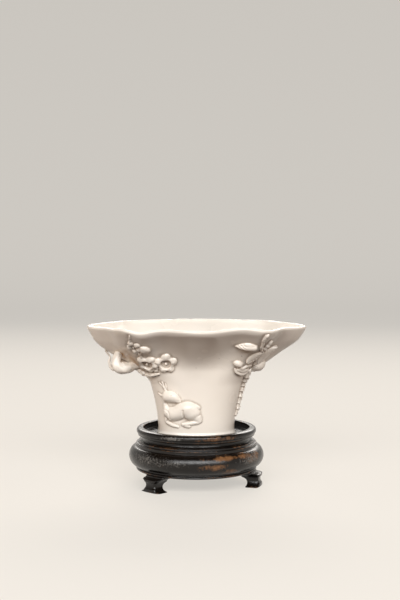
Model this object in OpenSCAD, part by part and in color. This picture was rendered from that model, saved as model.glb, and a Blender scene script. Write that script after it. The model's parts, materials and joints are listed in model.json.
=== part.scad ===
// Porcelain libation cup of rhinoceros-horn form on a turned hardwood stand.
// Millimetres, +Z up, +X along the cup, the front faces -Y. The origin is on the floor below the cup.

/* [Cup] */
// Length across the rim, over the two end lobes
rim_length = 135.6; // [120:0.2:150]
// Width across the rim, over the front and back lobes
rim_width = 94; // [86:0.2:104]
// Length of the stem just above the foot lip
foot_length = 47; // [42:0.2:52]
// Width of the stem just above the foot lip
foot_width = 39.2; // [35:0.2:44]
// Height from the foot ring to the highest points of the rim
cup_height = 67.2; // [58:0.2:78]
// Thickness of the wall at the stem
stem_wall = 3.2; // [2.4:0.1:4]
// Thickness of the wall at the lip
lip_wall = 2.2; // [1.6:0.1:3]
// Height of the floor inside the cup above the foot ring
floor_height = 9; // [7:0.2:12]
// How far the foot lip stands out from the stem
foot_lip = 1; // [0.4:0.1:1.6]
// Width of the foot ring under the cup
foot_ring = 4.5; // [3:0.1:6]
// Depth of the hollow under the foot
foot_hollow = 2; // [1:0.1:3]
// Radius of the hollow where the floor meets the wall inside
floor_fillet = 5; // [3:0.2:7]

/* [Rim lobes] */
// Number of lobes round the rim
lobes = 8; // [4:4:12]
// How far a lobe stands out from the mean rim
lobe_out = 2.6; // [1.4:0.1:3.4]
// How far a lobe dips below the mean rim
lobe_dip = 0.2; // [0.1:0.05:0.8]
// How far the lip turns up out of the flare at the front and the back
lip_turn = 1.4; // [0.6:0.1:2]
// How far the hand-worked front lip waves up over the rest of the rim
lip_wave = 1; // [0:0.1:1.4]

/* [Prunus] */
// Radius from the heart of a large blossom to the middle of a petal
blossom_reach = 4.5; // [4:0.1:5]
// Radius of a large blossom's petal
petal_round = 2.6; // [2.2:0.1:3]
// Radius from the heart of a small blossom to the middle of a petal
small_reach = 2.8; // [2.4:0.1:3]
// Radius of a small blossom's petal
small_round = 1.4; // [1.2:0.1:1.7]
// Thickness of the looped limb that serves as a handle
limb_thick = 6.2; // [5.4:0.1:6.6]
// Thickness of the branch under the blossoms
branch_thick = 3; // [2.4:0.1:3.6]
// Thickness of a twig
twig_thick = 1.6; // [1.2:0.1:2]
// Length of the bud beside the small blossom
prunus_bud_length = 7.3; // [6:0.1:9]

/* [Magnolia] */
// Thickness of the scaly trunk on the right end
trunk_thick = 4.6; // [3.8:0.1:5.2]
// Length of the open flower
flower_length = 18; // [15:0.2:20]
// Length of the broad leaf
leaf_length = 13; // [11:0.2:15]
// Width of the broad leaf
leaf_width = 6; // [5:0.1:7]
// Length of the slender leaf
slender_length = 16; // [14:0.2:18]
// Width of the slender leaf
slender_width = 4.4; // [3.4:0.1:5]
// Length of the pointed bud
bud_length = 11.6; // [10:0.2:14]
// Thickness of the pointed bud
bud_thick = 6; // [5:0.1:6.6]
// Thickness of the round bud under the right end
knob_thick = 7; // [6:0.1:8]

/* [Animals] */
// Length of the lying deer from chest to rump
deer_length = 23; // [20:0.5:25]
// Height of the standing crane from foot to crown
crane_height = 25; // [20:0.5:28]

/* [Stand] */
// Gap between the cup's foot lip and the rim of the stand at the cup's ends
seat_gap = 8.5; // [6:0.1:12]
// Thickness of the stand's rim
rim_thick = 4.2; // [3:0.1:6]
// Height of the stand's rim above its seat
rim_rise = 3.9; // [2.5:0.1:6]
// Height of the seat above the floor
seat_height = 31.6; // [30:0.1:36]
// Thickness of the board under the seat
seat_board = 4.2; // [3.4:0.1:5]
// How far the waist is cut in under the rim
waist_cut = 4.6; // [3:0.1:5.2]
// How far the belly swells out past the rim
belly_swell = 4.8; // [3:0.1:6]
// Radius of the belly's rounding
belly_round = 7; // [6.4:0.1:8]
// Height of the feet
foot_height = 9.4; // [8:0.1:11]
// Width of a foot where it meets the base
foot_span = 16; // [13:0.2:19]
// Diameter of the spigot that joins the two turned pieces
spigot_d = 40; // [30:0.5:46]
// Length of the spigot
spigot_l = 5; // [3.5:0.1:6]
// Diameter of the round tenon on a foot
tenon_d = 5; // [4:0.1:6]
// Length of the tenon
tenon_l = 5; // [4:0.1:6]
// Clearance left at the blind end of a socket
socket_play = 0.2; // [0.1:0.05:0.4]

/* [Hidden] */
porcelain = "#efe7da";
hardwood = "#2b1d17";

// Steps round the cup, and steps up its outer and inner wall
around = 64;
outer_steps = 15;
turn_steps = 2;
inner_steps = 10;
lip_steps = 4;
fillet_steps = 2;

// The wall: share of a lean and of a bell, power of the lean, and where the bell starts and stops
end_flare = [0.47, 1.85, 0.47, 0.905];
side_flare = [0.42, 3.75, 0.62, 1.3];
foot_power = 2.3;
rim_power = 2;
lobe_start_share = 0.5;
lip_turn_share = 0.955;

// Waves of the front lip: angle, half width in degrees and rise as a share of lip_wave
lip_waves = [[268, 40, 1], [228, 6.5, 1], [240, 6, -1.4], [278, 8, -0.4], [297, 8, 1.2]];
wave_start_share = 0.7;

// Degrees by which the lobes are shifted towards the ends
lobe_shift = 6;
foot_lip_share = 0.05;
arris = 0.6;

// Share of the lip's thickness by which its round top stands over the wall's edge
lip_rise_share = 0.66;
wall_height = cup_height - lip_rise_share * lip_wall - lobe_dip;
floor_share = (floor_height + floor_fillet) / wall_height;

// The wall of the cup. A place on it is [angle, share of height]; 0 degrees is the right end, 270 the front.

function smooth(u) = let (v = min(max(u, 0), 1)) v * v * (3 - 2 * v);
function power(s) = foot_power + (rim_power - foot_power) * smooth(s);
function rounded(v, s) = sign(v) * pow(abs(v), 2 / power(s));
function bell(s, f) = smooth((s - f[2]) / (f[3] - f[2])) / smooth((1 - f[2]) / (f[3] - f[2]));
function flare(s, f) = f[0] * pow(max(s, 0), f[1]) + (1 - f[0]) * bell(s, f);
function lobe(t, s) = cos(lobes * (t - lobe_shift * sin(2 * t)))
    * smooth((s - lobe_start_share) / (1 - lobe_start_share));
function turn_up(s) = lip_turn * pow(max(s - lip_turn_share, 0) / (1 - lip_turn_share), 2);
function hump(t, row) = row[2] * exp(-pow(((t - row[0] + 540) % 360 - 180) / row[1], 2));
function wave(t, s) = lip_wave * smooth((s - wave_start_share) / (1 - wave_start_share))
    * ([for (row = lip_waves) hump(t, row)] * [for (row = lip_waves) 1]);
function half_size(foot, rim, s, f) = foot / 2 + (rim / 2 - lobe_out - foot / 2) * flare(s, f);
function skirt(s) = foot_lip * (1 - smooth(s / foot_lip_share));

// Point of the outer wall, with the foot ring on the seat of the stand
function wall_at(p) = let (
    t = p[0],
    s = p[1],
    extra = skirt(s) + lobe_out * lobe(t, s),
    a = half_size(foot_length, rim_length, s, end_flare) + extra,
    b = half_size(foot_width, rim_width + 2 * lip_turn, s, side_flare) + extra - turn_up(s),
    z = seat_height + wall_height * s - lobe_dip * lobe(t, s) + wave(t, s)
) [a * rounded(cos(t), s), b * rounded(sin(t), s), z];

function unit(v) = v / norm(v);
step_t = 0.05;
step_s = 0.0005;
function along(p) = (wall_at([p[0] + step_t, p[1]]) - wall_at([p[0] - step_t, p[1]])) / (2 * step_t);
function upward(p) = (wall_at([p[0], p[1] + step_s]) - wall_at([p[0], p[1] - step_s])) / (2 * step_s);
function outward(p) = unit(cross(along(p), upward(p)));

// Place reached from the place c by going x mm round the wall and y mm up it
function spot(c, x, y) = let (
    u = along(c),
    v = upward(c),
    across = unit(u),
    up = cross(outward(c), across),
    rise = y / (v * up)
) [c[0] + (x - rise * (v * across)) / norm(u), c[1] + rise];

// Closed skin over a stack of rings with the same number of points
function skin_points(rings) = [for (r = rings) each r];
function skin_faces(count, n) = [
    [for (i = [0 : n - 1]) i],
    for (k = [0 : count - 2]) for (i = [0 : n - 1]) let (j = (i + 1) % n)
        each [[k * n + i, (k + 1) * n + i, k * n + j], [k * n + j, (k + 1) * n + i, (k + 1) * n + j]],
    [for (i = [n - 1 : -1 : 0]) (count - 1) * n + i]
];
module skin(rings) polyhedron(points = skin_points(rings), faces = skin_faces(len(rings), len(rings[0])));

// Rings of the cup
function angles() = [for (i = [0 : around - 1]) 360 * i / around];
function drawn_in(p, inset, z) = let (
    q = wall_at(p),
    n = outward([p[0], max(p[1], 0.1)]),
    flat = unit([n[0], n[1], 0])
) [q[0] - inset * flat[0], q[1] - inset * flat[1], z];
function foot_line(inset, rise) = [for (t = angles()) drawn_in([t, 0], inset, seat_height + rise)];
function outer_ring(s) = [for (t = angles()) wall_at([t, s])];
function thickness(s) = stem_wall + (lip_wall - stem_wall) * smooth(s);
function inner_at(p) = wall_at(p) - thickness(p[1]) * outward(p);
function inner_ring(s) = [for (t = angles()) inner_at([t, s])];
function lip_ring(turn) = [for (t = angles()) let (
    p = [t, 1],
    n = outward(p),
    up = unit(cross(n, unit(along(p))))
) wall_at(p) - lip_wall / 2 * (1 - cos(turn)) * n + lip_wall / 2 * sin(turn) * up];
function floor_ring(turn) = [for (t = angles()) let (
    q = inner_at([t, floor_share]),
    flat = unit([q[0], q[1], 0]),
    inset = floor_fillet * (1 - cos(turn)),
    rise = floor_height + floor_fillet * (1 - sin(turn))
) [q[0] - inset * flat[0], q[1] - inset * flat[1], seat_height + rise]];

arris_share = arris / wall_height;
outer_rings = [
    foot_line(arris, 0),
    for (k = [0 : outer_steps]) outer_ring(arris_share + (lip_turn_share - arris_share) * k / outer_steps),
    for (k = [1 : turn_steps]) outer_ring(lip_turn_share + (1 - lip_turn_share) * k / turn_steps)
];
inner_rings = [
    for (k = [1 : lip_steps]) lip_ring(180 * k / lip_steps),
    for (k = [1 : inner_steps]) inner_ring(1 + (floor_share - 1) * k / inner_steps),
    for (k = [1 : fillet_steps]) floor_ring(90 * k / fillet_steps)
];
hollow_rings = [foot_line(foot_ring, foot_hollow), foot_line(foot_ring, 0)];

module cup_body() color(porcelain) skin(concat(hollow_rings, outer_rings, inner_rings));

// The cup without its hollows, which every sprig is pressed against
module cup_blank() skin(concat(outer_rings, [lip_ring(180)]));

// Sprigs. A row of a limb is [x, y, lift, radius] in mm on the wall about a place c.

// Sides of a bead, by its radius
function sides(r) = r > 2.6 ? 12 : r > 2 ? 10 : 8;
module ball(p, lift, r) translate(wall_at(p) + lift * outward(p)) sphere(r = r, $fn = sides(r));
module bead(c, row) ball(spot(c, row[0], row[1]), row[2], row[3]);
module limb(c, rows) {
    for (i = [0 : len(rows) - 2]) hull() {
        bead(c, rows[i]);
        bead(c, rows[i + 1]);
    }
}
module joined(c, rows) hull() for (row = rows) bead(c, row);

// Figure of several limbs; a drawing is [length that it is drawn for, limbs]
module figure(c, drawing, length, angle) {
    for (rows = drawing[1]) limb(c, turned(rows, length / drawing[0], angle));
}

// Drawing with every length multiplied by k and turned by an angle
function turned(rows, k, angle) = [for (r = rows) k * [
    r[0] * cos(angle) - r[1] * sin(angle),
    r[0] * sin(angle) + r[1] * cos(angle),
    r[2],
    r[3]
]];

// Five round petals about a sunk heart with a button
petals = 5;
module blossom(c, reach, round, turn) {
    for (k = [0 : petals - 1]) limb(c, turned([
        [0.76 * reach, 0, -0.3 * round, 0.8 * round],
        [reach, 0, -0.2 * round, round]
    ], 1, turn + 360 * k / petals));
    joined(c, [for (k = [0 : petals - 1])
        turned([[0.55 * reach, 0, -0.08 * round, 0.34 * round]], 1, turn + 360 * (k + 0.5) / petals)[0]]);
    limb(c, [[0, 0, 0, 0.36 * round], [0, 0, 0.4 * round, 0.28 * round]]);
}

// Pointed blade of two halves with a sunk midrib; it starts at the place c and points at an angle
blade_steps = 4;
module blade(c, length, width, angle) {
    for (side = [-1, 1]) limb(c, turned([for (k = [0 : blade_steps]) let (
        u = k / blade_steps,
        swell = 0.12 + 0.88 * pow(sin(180 * pow(u, 0.8)), 0.8)
    ) [length * u, side * 0.2 * width * swell, -0.08 * width * swell, 0.3 * width * swell]], 1, angle));
}

// Pointed bud wrapped in three scales
module pointed_bud(c, length, thick, angle) {
    for (side = [-1, 0, 1]) let (lift = side == 0 ? 0.1 : -0.05)
        limb(c, turned([
            [0, side * 0.06 * thick, lift * thick, 0.34 * thick],
            [0.28 * length, side * 0.2 * thick, lift * thick, 0.4 * thick],
            [0.6 * length, side * 0.17 * thick, lift * thick, 0.3 * thick],
            [length, 0, 0, 0.08 * thick]
        ], 1, angle));
}

// Places of the sprigs on the wall. A row of the handle is [angle, share of height, lift, thickness], the
// last two as shares of the limb's thickness; a row of a branch is [angle, share of height, thickness].
handle_path = [[204, 0.64, -0.2, 0.55], [203, 0.657, 0.03, 0.74], [202, 0.67, 0.34, 0.98],
    [202, 0.683, 0.66, 1.14], [202, 0.708, 1.02, 1.26], [202, 0.732, 1.14, 1.14], [202, 0.75, 0.95, 0.98],
    [202, 0.762, 0.5, 0.88], [202, 0.772, -0.06, 0.8]];
branch_path = [[190, 0.626, 0.6], [198, 0.62, 0.85], [201, 0.604, 1], [205, 0.586, 1], [213, 0.577, 0.85],
    [224, 0.585, 0.7], [232, 0.595, 0.5]];
back_path = [[196, 0.66, 0.9], [186, 0.7, 0.9], [176, 0.73, 0.8], [165, 0.74, 0.85], [152, 0.71, 0.75],
    [138, 0.67, 0.7], [124, 0.68, 0.6], [110, 0.73, 0.5], [100, 0.79, 0.4]];
blossom_1_place = [230.3, 0.694];
blossom_2_place = [246.7, 0.698];
blossom_3_place = [233.5, 0.865];
blossom_4_place = [140, 0.735];
blossom_5_place = [112, 0.8];
prunus_bud_place = [239, 0.849];
trunk_path = [[332, 0.618, 0.6], [339, 0.57, 0.8], [347, 0.53, 0.95], [354, 0.48, 0.9], [357, 0.43, 1],
    [358, 0.385, 0.88], [358, 0.34, 1], [357.8, 0.295, 0.82], [357, 0.25, 0.92], [354.5, 0.21, 0.7],
    [351, 0.175, 0.5]];
magnolia_path = [[333, 0.645, 0.8], [327, 0.672, 0.8], [322, 0.701, 0.75], [317.7, 0.754, 0.7],
    [314.5, 0.806, 0.65], [310.5, 0.845, 0.6], [308.8, 0.896, 0.5], [308.2, 0.942, 0.45], [308.2, 0.985, 0.4]];
leaf_1_place = [309, 0.709];
leaf_2_place = [325.8, 0.7];
leaf_3_place = [22, 0.68];
flower_place = [307.9, 0.671];
bud_1_place = [305.6, 0.877];
bud_2_place = [335, 0.674];
deer_place = [245, 0.28];
crane_place = [92, 0.3];

// Limb that follows places on the wall, and a branch that keeps one lift
module limb_on(path, thick) {
    for (i = [0 : len(path) - 2]) hull() for (p = [path[i], path[i + 1]])
        ball(p, p[2] * thick, p[3] * thick / 2);
}
module vine(path, thick, lift) limb_on([for (p = path) [p[0], p[1], lift, p[2]]], thick);

module prunus_handle_blank() limb_on(handle_path, limb_thick);
module prunus_branch_blank() vine(branch_path, branch_thick, 0.05);
module prunus_back_blank() vine(back_path, branch_thick, 0.05);
module blossom_1_blank() blossom(blossom_1_place, blossom_reach, petal_round, 58);
module blossom_2_blank() blossom(blossom_2_place, blossom_reach, petal_round, 92);
module blossom_3_blank() blossom(blossom_3_place, small_reach, small_round, 46);
module blossom_4_blank() blossom(blossom_4_place, blossom_reach, petal_round, 100);
module blossom_5_blank() blossom(blossom_5_place, small_reach, small_round, 50);
prunus_bud_drawing = [7.3, [for (side = [-1, 0, 1])
    [[-2.6, 0, -0.2, 1], [-0.8, 0.7 * side, 0.1, 1.6], [1.2, 0.8 * side, 0.1, 1.7],
        [2.6, 0.4 * side, -0.2, 1.1]]]];
module prunus_bud_blank() figure(prunus_bud_place, prunus_bud_drawing, prunus_bud_length, -40);
module magnolia_trunk_blank() vine(trunk_path, trunk_thick, -0.04);
module magnolia_branch_blank() vine(magnolia_path, branch_thick, 0.05);
flower_drawing = [18, [
    [[-2.6, 3.6, -0.5, 2.6], [-1.8, 2.4, -0.5, 2.6]],
    [[-4.2, -1, -0.2, 1.1], [-1.8, -4, 0.2, 1.7], [3.2, -5.6, 0.2, 1.8], [7.6, -5.2, 0, 1.5],
        [10.4, -3.6, -0.2, 1]],
    [[-0.8, -1.2, -0.2, 1.1], [1.9, -1.9, 0, 1.3], [4.4, -0.6, -0.1, 1.2], [8.6, -0.3, -0.3, 0.9]],
    [[-3, 0.2, -0.5, 1.4], [-0.8, -2, -0.3, 1.3]]
]];
module flower_blank() figure(flower_place, flower_drawing, flower_length, 0);
module leaf_1_blank() blade(leaf_1_place, leaf_length, leaf_width, 45);
module leaf_2_blank() blade(leaf_2_place, slender_length, slender_width, 54);
module leaf_3_blank() blade(leaf_3_place, leaf_length, leaf_width, 70);
module bud_1_blank() pointed_bud(bud_1_place, bud_length, bud_thick, 180);
knob_drawing = [1, [[[-0.26, 0, -0.1, 0.44], [0, 0, -0.02, 0.5], [0.28, 0, -0.1, 0.4]]]];
module bud_2_blank() figure(bud_2_place, knob_drawing, knob_thick, 60);

// A sprig keeps what is left of its blank outside the cup
module pressed() difference() {
    children(0);
    cup_blank();
}

module prunus_blossom_1() color(porcelain) pressed() blossom_1_blank();
module prunus_blossom_2() color(porcelain) difference() {
    pressed() blossom_2_blank();
    blossom_1_blank();
}
module prunus_blossom_3() color(porcelain) pressed() blossom_3_blank();
module prunus_blossom_4() color(porcelain) pressed() blossom_4_blank();
module prunus_blossom_5() color(porcelain) pressed() blossom_5_blank();
module prunus_bud() color(porcelain) difference() {
    pressed() prunus_bud_blank();
    blossom_3_blank();
}
module prunus_handle() color(porcelain) difference() {
    pressed() prunus_handle_blank();
    blossom_1_blank();
}
module prunus_branch() color(porcelain) difference() {
    pressed() prunus_branch_blank();
    blossom_1_blank();
    blossom_2_blank();
    prunus_handle_blank();
    deer_blank();
}
twig_rows = [
    [[231.8, 0.757], [232.8, 0.789], [234.2, 0.828], [234.2, 0.845]],
    [[232.8, 0.789], [235.6, 0.812], [237.6, 0.832]],
    [[232.6, 0.89], [232.9, 0.937], [233.5, 0.96], [233.8, 0.976]]
];
module prunus_twigs() color(porcelain) difference() {
    pressed() for (row = twig_rows) vine([for (p = row) [p[0], p[1], 1]], twig_thick, 0.1);
    blossom_1_blank();
    blossom_3_blank();
    prunus_bud_blank();
}
module prunus_back_branch() color(porcelain) difference() {
    pressed() prunus_back_blank();
    prunus_handle_blank();
    blossom_4_blank();
    blossom_5_blank();
}

module magnolia_trunk() color(porcelain) difference() {
    pressed() magnolia_trunk_blank();
    bud_2_blank();
    flower_blank();
}
module magnolia_blossom() color(porcelain) pressed() flower_blank();
module magnolia_leaf_1() color(porcelain) difference() {
    pressed() leaf_1_blank();
    flower_blank();
}
module magnolia_leaf_2() color(porcelain) difference() {
    pressed() leaf_2_blank();
    leaf_1_blank();
    flower_blank();
}
module magnolia_leaf_3() color(porcelain) pressed() leaf_3_blank();
module magnolia_bud_1() color(porcelain) pressed() bud_1_blank();
module magnolia_bud_2() color(porcelain) difference() {
    pressed() bud_2_blank();
    leaf_2_blank();
}
module magnolia_branch() color(porcelain) difference() {
    pressed() magnolia_branch_blank();
    magnolia_trunk_blank();
    flower_blank();
    leaf_1_blank();
    leaf_2_blank();
    bud_1_blank();
    bud_2_blank();
}
magnolia_twig_rows = [
    [[314.5, 0.812], [313.8, 0.86], [314.4, 0.91]],
    [[308.3, 0.945], [309, 0.965], [310, 0.98]],
    [[352, 0.6], [364, 0.635], [374, 0.66], [381, 0.7]]
];
module magnolia_twigs() color(porcelain) difference() {
    pressed() for (row = magnolia_twig_rows) vine([for (p = row) [p[0], p[1], 1]], twig_thick, 0.1);
    magnolia_branch_blank();
    magnolia_trunk_blank();
    leaf_1_blank();
    leaf_2_blank();
    leaf_3_blank();
    bud_2_blank();
}

// Lying deer, head turned back
deer_drawing = [23, [
    [[-3.8, -4.6, -1.9, 4.7], [0.6, -3.6, -2.1, 4.8], [4.4, -1.6, -2.6, 5.4]],
    [[6.6, -1.2, -2.6, 6.1], [8.6, -3, -2.2, 5.4]],
    [[-6.8, -3.4, -1.2, 3.8], [-8.2, 0.4, -0.6, 2.2], [-8.4, 3.6, -0.5, 2.2], [-7.2, 6.4, -0.4, 2.6]],
    [[-5.8, -0.8, -1.4, 2.6], [-1, -0.8, -2, 3.4], [3, 0, -2.2, 4.2]],
    [[-5.9, 6.8, -0.6, 3.5], [-2.6, 6.9, -0.4, 3.2], [0.9, 5, -0.3, 1.5]],
    [[-6.6, 9.8, 0, 0.8], [-7.8, 12, -0.05, 0.75], [-8.3, 15.2, -0.15, 0.55]],
    [[-7.2, 11, 0, 0.65], [-6.4, 14.4, -0.15, 0.45]],
    [[-9, 6.6, 0, 0.9], [-13.6, 7.9, -0.1, 0.5]],
    [[-7.6, -7.2, -0.6, 2], [-8, -9, -0.3, 1.5], [-3.4, -10.9, -0.3, 1.3], [0.9, -11.8, -0.3, 1.05]],
    [[11, -6, -1, 2.6], [11.9, -8.4, -0.4, 1.6], [8.8, -9.4, -0.3, 1.45], [4, -10.3, -0.3, 1.15]],
    [[5.9, -11.1, -0.2, 1.1], [7.6, -11.4, -0.2, 1.1]],
    [[9.6, 1.6, 0, 1.1], [11.2, 0.2, 0, 1]]
]];
module deer_blank() figure(deer_place, deer_drawing, deer_length, 0);
module deer() color(porcelain) pressed() deer_blank();

// Standing crane on the hidden side
crane_drawing = [25, [
    [[-4, -1, -1.4, 3], [1, 0.6, -1.4, 3.4], [5, -0.6, -1.2, 2.4], [8.4, -3, -0.5, 1.1]],
    [[-4.2, 0.6, -0.4, 2], [-5.2, 4.4, -0.1, 1.2], [-3.6, 7.6, 0, 1], [-4, 10.6, 0, 0.95],
        [-5.8, 11.6, 0, 1.2], [-9.2, 11, -0.1, 0.5]],
    [[-1.4, -1.4, -0.4, 1.1], [-1.6, -8, -0.1, 0.7], [-1.4, -12.6, -0.1, 0.7], [-3.6, -13.2, -0.1, 0.5]],
    [[1.4, -1.2, -0.4, 1.1], [2.6, -7, -0.1, 0.7], [1.6, -12.6, -0.1, 0.7], [3.8, -13.2, -0.1, 0.5]]
]];
module crane() color(porcelain) pressed() figure(crane_place, crane_drawing, crane_height, 0);

// The stand. Two turned pieces joined by a spigot, and three bracket feet on round tenons.

recess_r = foot_length / 2 + foot_lip + seat_gap;
stand_rim_r = recess_r + rim_thick;
belly_r = stand_rim_r + belly_swell;
dish_bottom = seat_height - seat_board;
waist_r = stand_rim_r - waist_cut;

// Mouldings: the rim's roll, the cove of the waist, two listels, a quirk and a bead
roll_r = min(2, rim_thick / 2);
roll_mid = seat_height + rim_rise - roll_r;
fascia_set = 0.8;
fascia_bottom = seat_height - fascia_set;
cove_r = seat_board / 2;
cove_drop = 0.3;
listel_1 = 1.2;
listel_2 = 2;
listel_step = 1.4;
quirk = 1.2;
bead_r = 0.8;
bead_out = 0.3;
belly_top = dish_bottom - listel_1 - listel_2;
belly_bottom = foot_height + 2 * bead_r + quirk;
belly_mid = (belly_top + belly_bottom) / 2;
bead_ring_r = stand_rim_r + bead_out;

// Hollow under the base, the wood left above it, and the circle of the tenons
under_land = 4;
under_r = recess_r - under_land;
under_roof = 4;
under_top = dish_bottom - spigot_l - socket_play - under_roof;
tenon_place = (under_r + bead_ring_r) / 2;
through = 1;

module ring_at(r, z) translate([r, z]) children();
module box_at(r, z, w, h) translate([r, z]) square([w, h]);

module stand_dish() color(hardwood) rotate_extrude($fn = 96) {
    difference() {
        union() {
            box_at(0, dish_bottom, waist_r + cove_r / 2, seat_board);
            box_at(recess_r, dish_bottom + cove_r, rim_thick - roll_r, seat_board - cove_r + rim_rise);
            box_at(recess_r, fascia_bottom, rim_thick - fascia_set, roll_mid - fascia_bottom);
            ring_at(stand_rim_r - roll_r, roll_mid) circle(r = roll_r, $fn = 48);
        }
        ring_at(waist_r + cove_r, dish_bottom + cove_r - cove_drop) circle(r = cove_r, $fn = 48);
    }
    box_at(0, dish_bottom - spigot_l, spigot_d / 2, spigot_l);
}

module stand_base() color(hardwood) difference() {
    rotate_extrude($fn = 96) difference() {
        union() {
            box_at(0, dish_bottom - listel_1, stand_rim_r + bead_out - listel_step, listel_1);
            box_at(0, belly_top, stand_rim_r + bead_out, listel_2);
            box_at(0, belly_bottom, belly_r - belly_round, belly_top - belly_bottom);
            intersection() {
                ring_at(belly_r - belly_round, belly_mid) circle(r = belly_round, $fn = 96);
                box_at(0, belly_bottom, 2 * belly_r, belly_top - belly_bottom);
            }
            box_at(0, foot_height, bead_ring_r - bead_r, belly_bottom - foot_height);
            ring_at(bead_ring_r - bead_r, foot_height + bead_r) circle(r = bead_r, $fn = 32);
        }
        box_at(0, foot_height - through, under_r, under_top - foot_height + through);
        box_at(0, dish_bottom - spigot_l - socket_play, spigot_d / 2, spigot_l + socket_play + through);
    }
    for (angle = foot_angles) rotate([0, 0, angle]) translate([tenon_place, 0, foot_height - through])
        cylinder(d = tenon_d, h = tenon_l + socket_play + through, $fn = 48);
}

// Directions of the feet from +X, and the shares of a foot's height and span that shape its outline
foot_angles = [-134, -14, 106];
foot_set = 0.6;
neck_at = 0.45;
outer_neck = 0.3;
inner_neck = 0.4;
side_neck = 0.24;
shoulder = 0.86;

// Section of a foot from its inner to its outer face
module foot_section() difference() {
    box_at(under_r + foot_set, 0, belly_r - under_r - 2 * foot_set, foot_height);
    ring_at(belly_r + 2 * foot_set, neck_at * foot_height) circle(r = outer_neck * foot_height, $fn = 48);
    ring_at(under_r + foot_set, inner_neck * foot_height / 2) circle(r = inner_neck * foot_height, $fn = 48);
    box_at(bead_ring_r, shoulder * foot_height, belly_r, foot_height);
}

// Bracket outline of a foot seen from outside
module foot_outline() difference() {
    box_at(-foot_span / 2, 0, foot_span, foot_height);
    for (side = [-1, 1]) ring_at(side * foot_span / 2, neck_at * foot_height)
        circle(r = side_neck * foot_span, $fn = 48);
}
module foot_at(angle) color(hardwood) rotate([0, 0, angle]) {
    intersection() {
        rotate_extrude($fn = 96) foot_section();
        rotate([90, 0, 90]) linear_extrude(belly_r + through) foot_outline();
    }
    translate([tenon_place, 0, foot_height - through]) cylinder(d = tenon_d, h = tenon_l + through, $fn = 48);
}
module stand_foot_1() foot_at(foot_angles[0]);
module stand_foot_2() foot_at(foot_angles[1]);
module stand_foot_3() foot_at(foot_angles[2]);

cup_body();
prunus_handle();
prunus_branch();
prunus_twigs();
prunus_blossom_1();
prunus_blossom_2();
prunus_blossom_3();
prunus_bud();
prunus_back_branch();
prunus_blossom_4();
prunus_blossom_5();
magnolia_trunk();
magnolia_branch();
magnolia_twigs();
magnolia_blossom();
magnolia_leaf_1();
magnolia_leaf_2();
magnolia_leaf_3();
magnolia_bud_1();
magnolia_bud_2();
deer();
crane();
stand_dish();
stand_base();
stand_foot_1();
stand_foot_2();
stand_foot_3();
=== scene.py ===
# %% [markdown]
# # A porcelain libation cup on its hardwood stand
# The cup is white porcelain in the shape of a cut horn: an oval stem that flares into a rim of eight soft
# lobes. Sprigs of prunus and magnolia, a deer and a crane were pressed in moulds, luted to the leather-hard
# wall with slip and fired under one clear glaze. The cup stands loose in a turned stand of lacquered wood.
#
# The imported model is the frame. Each piece below is made where its solid lies, rides on the same body and
# then stands for that solid: the solids keep the motion, and these meshes give the looks.

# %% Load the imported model
import json
import math

import bpy
import numpy as np
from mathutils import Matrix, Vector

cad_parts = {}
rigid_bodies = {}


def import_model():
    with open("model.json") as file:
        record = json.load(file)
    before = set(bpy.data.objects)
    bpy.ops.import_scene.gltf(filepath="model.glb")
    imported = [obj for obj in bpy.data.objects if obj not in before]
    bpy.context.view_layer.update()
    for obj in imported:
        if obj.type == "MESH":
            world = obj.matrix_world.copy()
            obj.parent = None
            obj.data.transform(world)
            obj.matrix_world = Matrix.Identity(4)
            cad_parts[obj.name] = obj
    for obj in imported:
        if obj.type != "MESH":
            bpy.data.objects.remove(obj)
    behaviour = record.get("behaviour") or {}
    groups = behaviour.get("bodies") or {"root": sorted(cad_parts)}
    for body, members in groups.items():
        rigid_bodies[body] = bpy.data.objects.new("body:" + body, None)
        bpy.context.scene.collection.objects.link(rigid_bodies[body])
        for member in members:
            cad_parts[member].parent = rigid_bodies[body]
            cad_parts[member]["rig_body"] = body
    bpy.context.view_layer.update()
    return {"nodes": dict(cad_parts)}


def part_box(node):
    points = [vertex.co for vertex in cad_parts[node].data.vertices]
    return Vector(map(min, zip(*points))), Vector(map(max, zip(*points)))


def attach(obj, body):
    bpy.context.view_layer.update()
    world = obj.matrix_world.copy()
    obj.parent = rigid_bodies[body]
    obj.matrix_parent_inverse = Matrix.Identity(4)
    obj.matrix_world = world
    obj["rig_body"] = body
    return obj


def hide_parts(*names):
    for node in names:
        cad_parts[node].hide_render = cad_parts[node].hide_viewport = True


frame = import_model()
MM = 0.001

# %% [markdown]
# ## The camera
# The picture is taken from the front, a few degrees down, through a long lens. The rim is then a thin ellipse
# and the far lip shows over the near one. A focal length in pixels turns into millimetres of lens through the
# height of the sensor, so nothing else needs fitting.

# %% Camera
IMAGE_HEIGHT_PX = 600
FOCAL_PX = 1300
LOOK_DOWN_DEG = 4.3
CAMERA_PLACE_MM = (2.3, -802.6, 174.7)

lens = bpy.data.cameras.new("studio_camera")
lens.sensor_width = 36
lens.lens = lens.sensor_width * FOCAL_PX / IMAGE_HEIGHT_PX
camera = bpy.data.objects.new("studio_camera", lens)
camera.location = [MM * v for v in CAMERA_PLACE_MM]
camera.rotation_euler = (math.radians(90 - LOOK_DOWN_DEG), 0, 0)
bpy.context.scene.collection.objects.link(camera)
bpy.context.scene.camera = camera
print("lens in mm:", lens.lens)

# %% [markdown]
# ## The wall of the cup
# Every sprig lies on the wall, so the wall comes first, as a formula and not as a mesh. A place on it is an
# angle t in degrees (0 at the right end, 270 at the front) and a share s of the height. A horizontal section
# is a rounded oval. Its half length and half width each grow up the wall by a slow lean and a late bell, which
# makes the straight stem, the turn of the throat and the flare. At the front and back the lip turns up again.
# Lobes are a cosine round the oval that fades in over the upper half; they are shifted away from the ends,
# which spaces them evenly along the rim. Soft bumps then make the wall hand-worked: waves along the front lip,
# two hollows pressed in under the lip of the right end, and a few chips.

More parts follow.
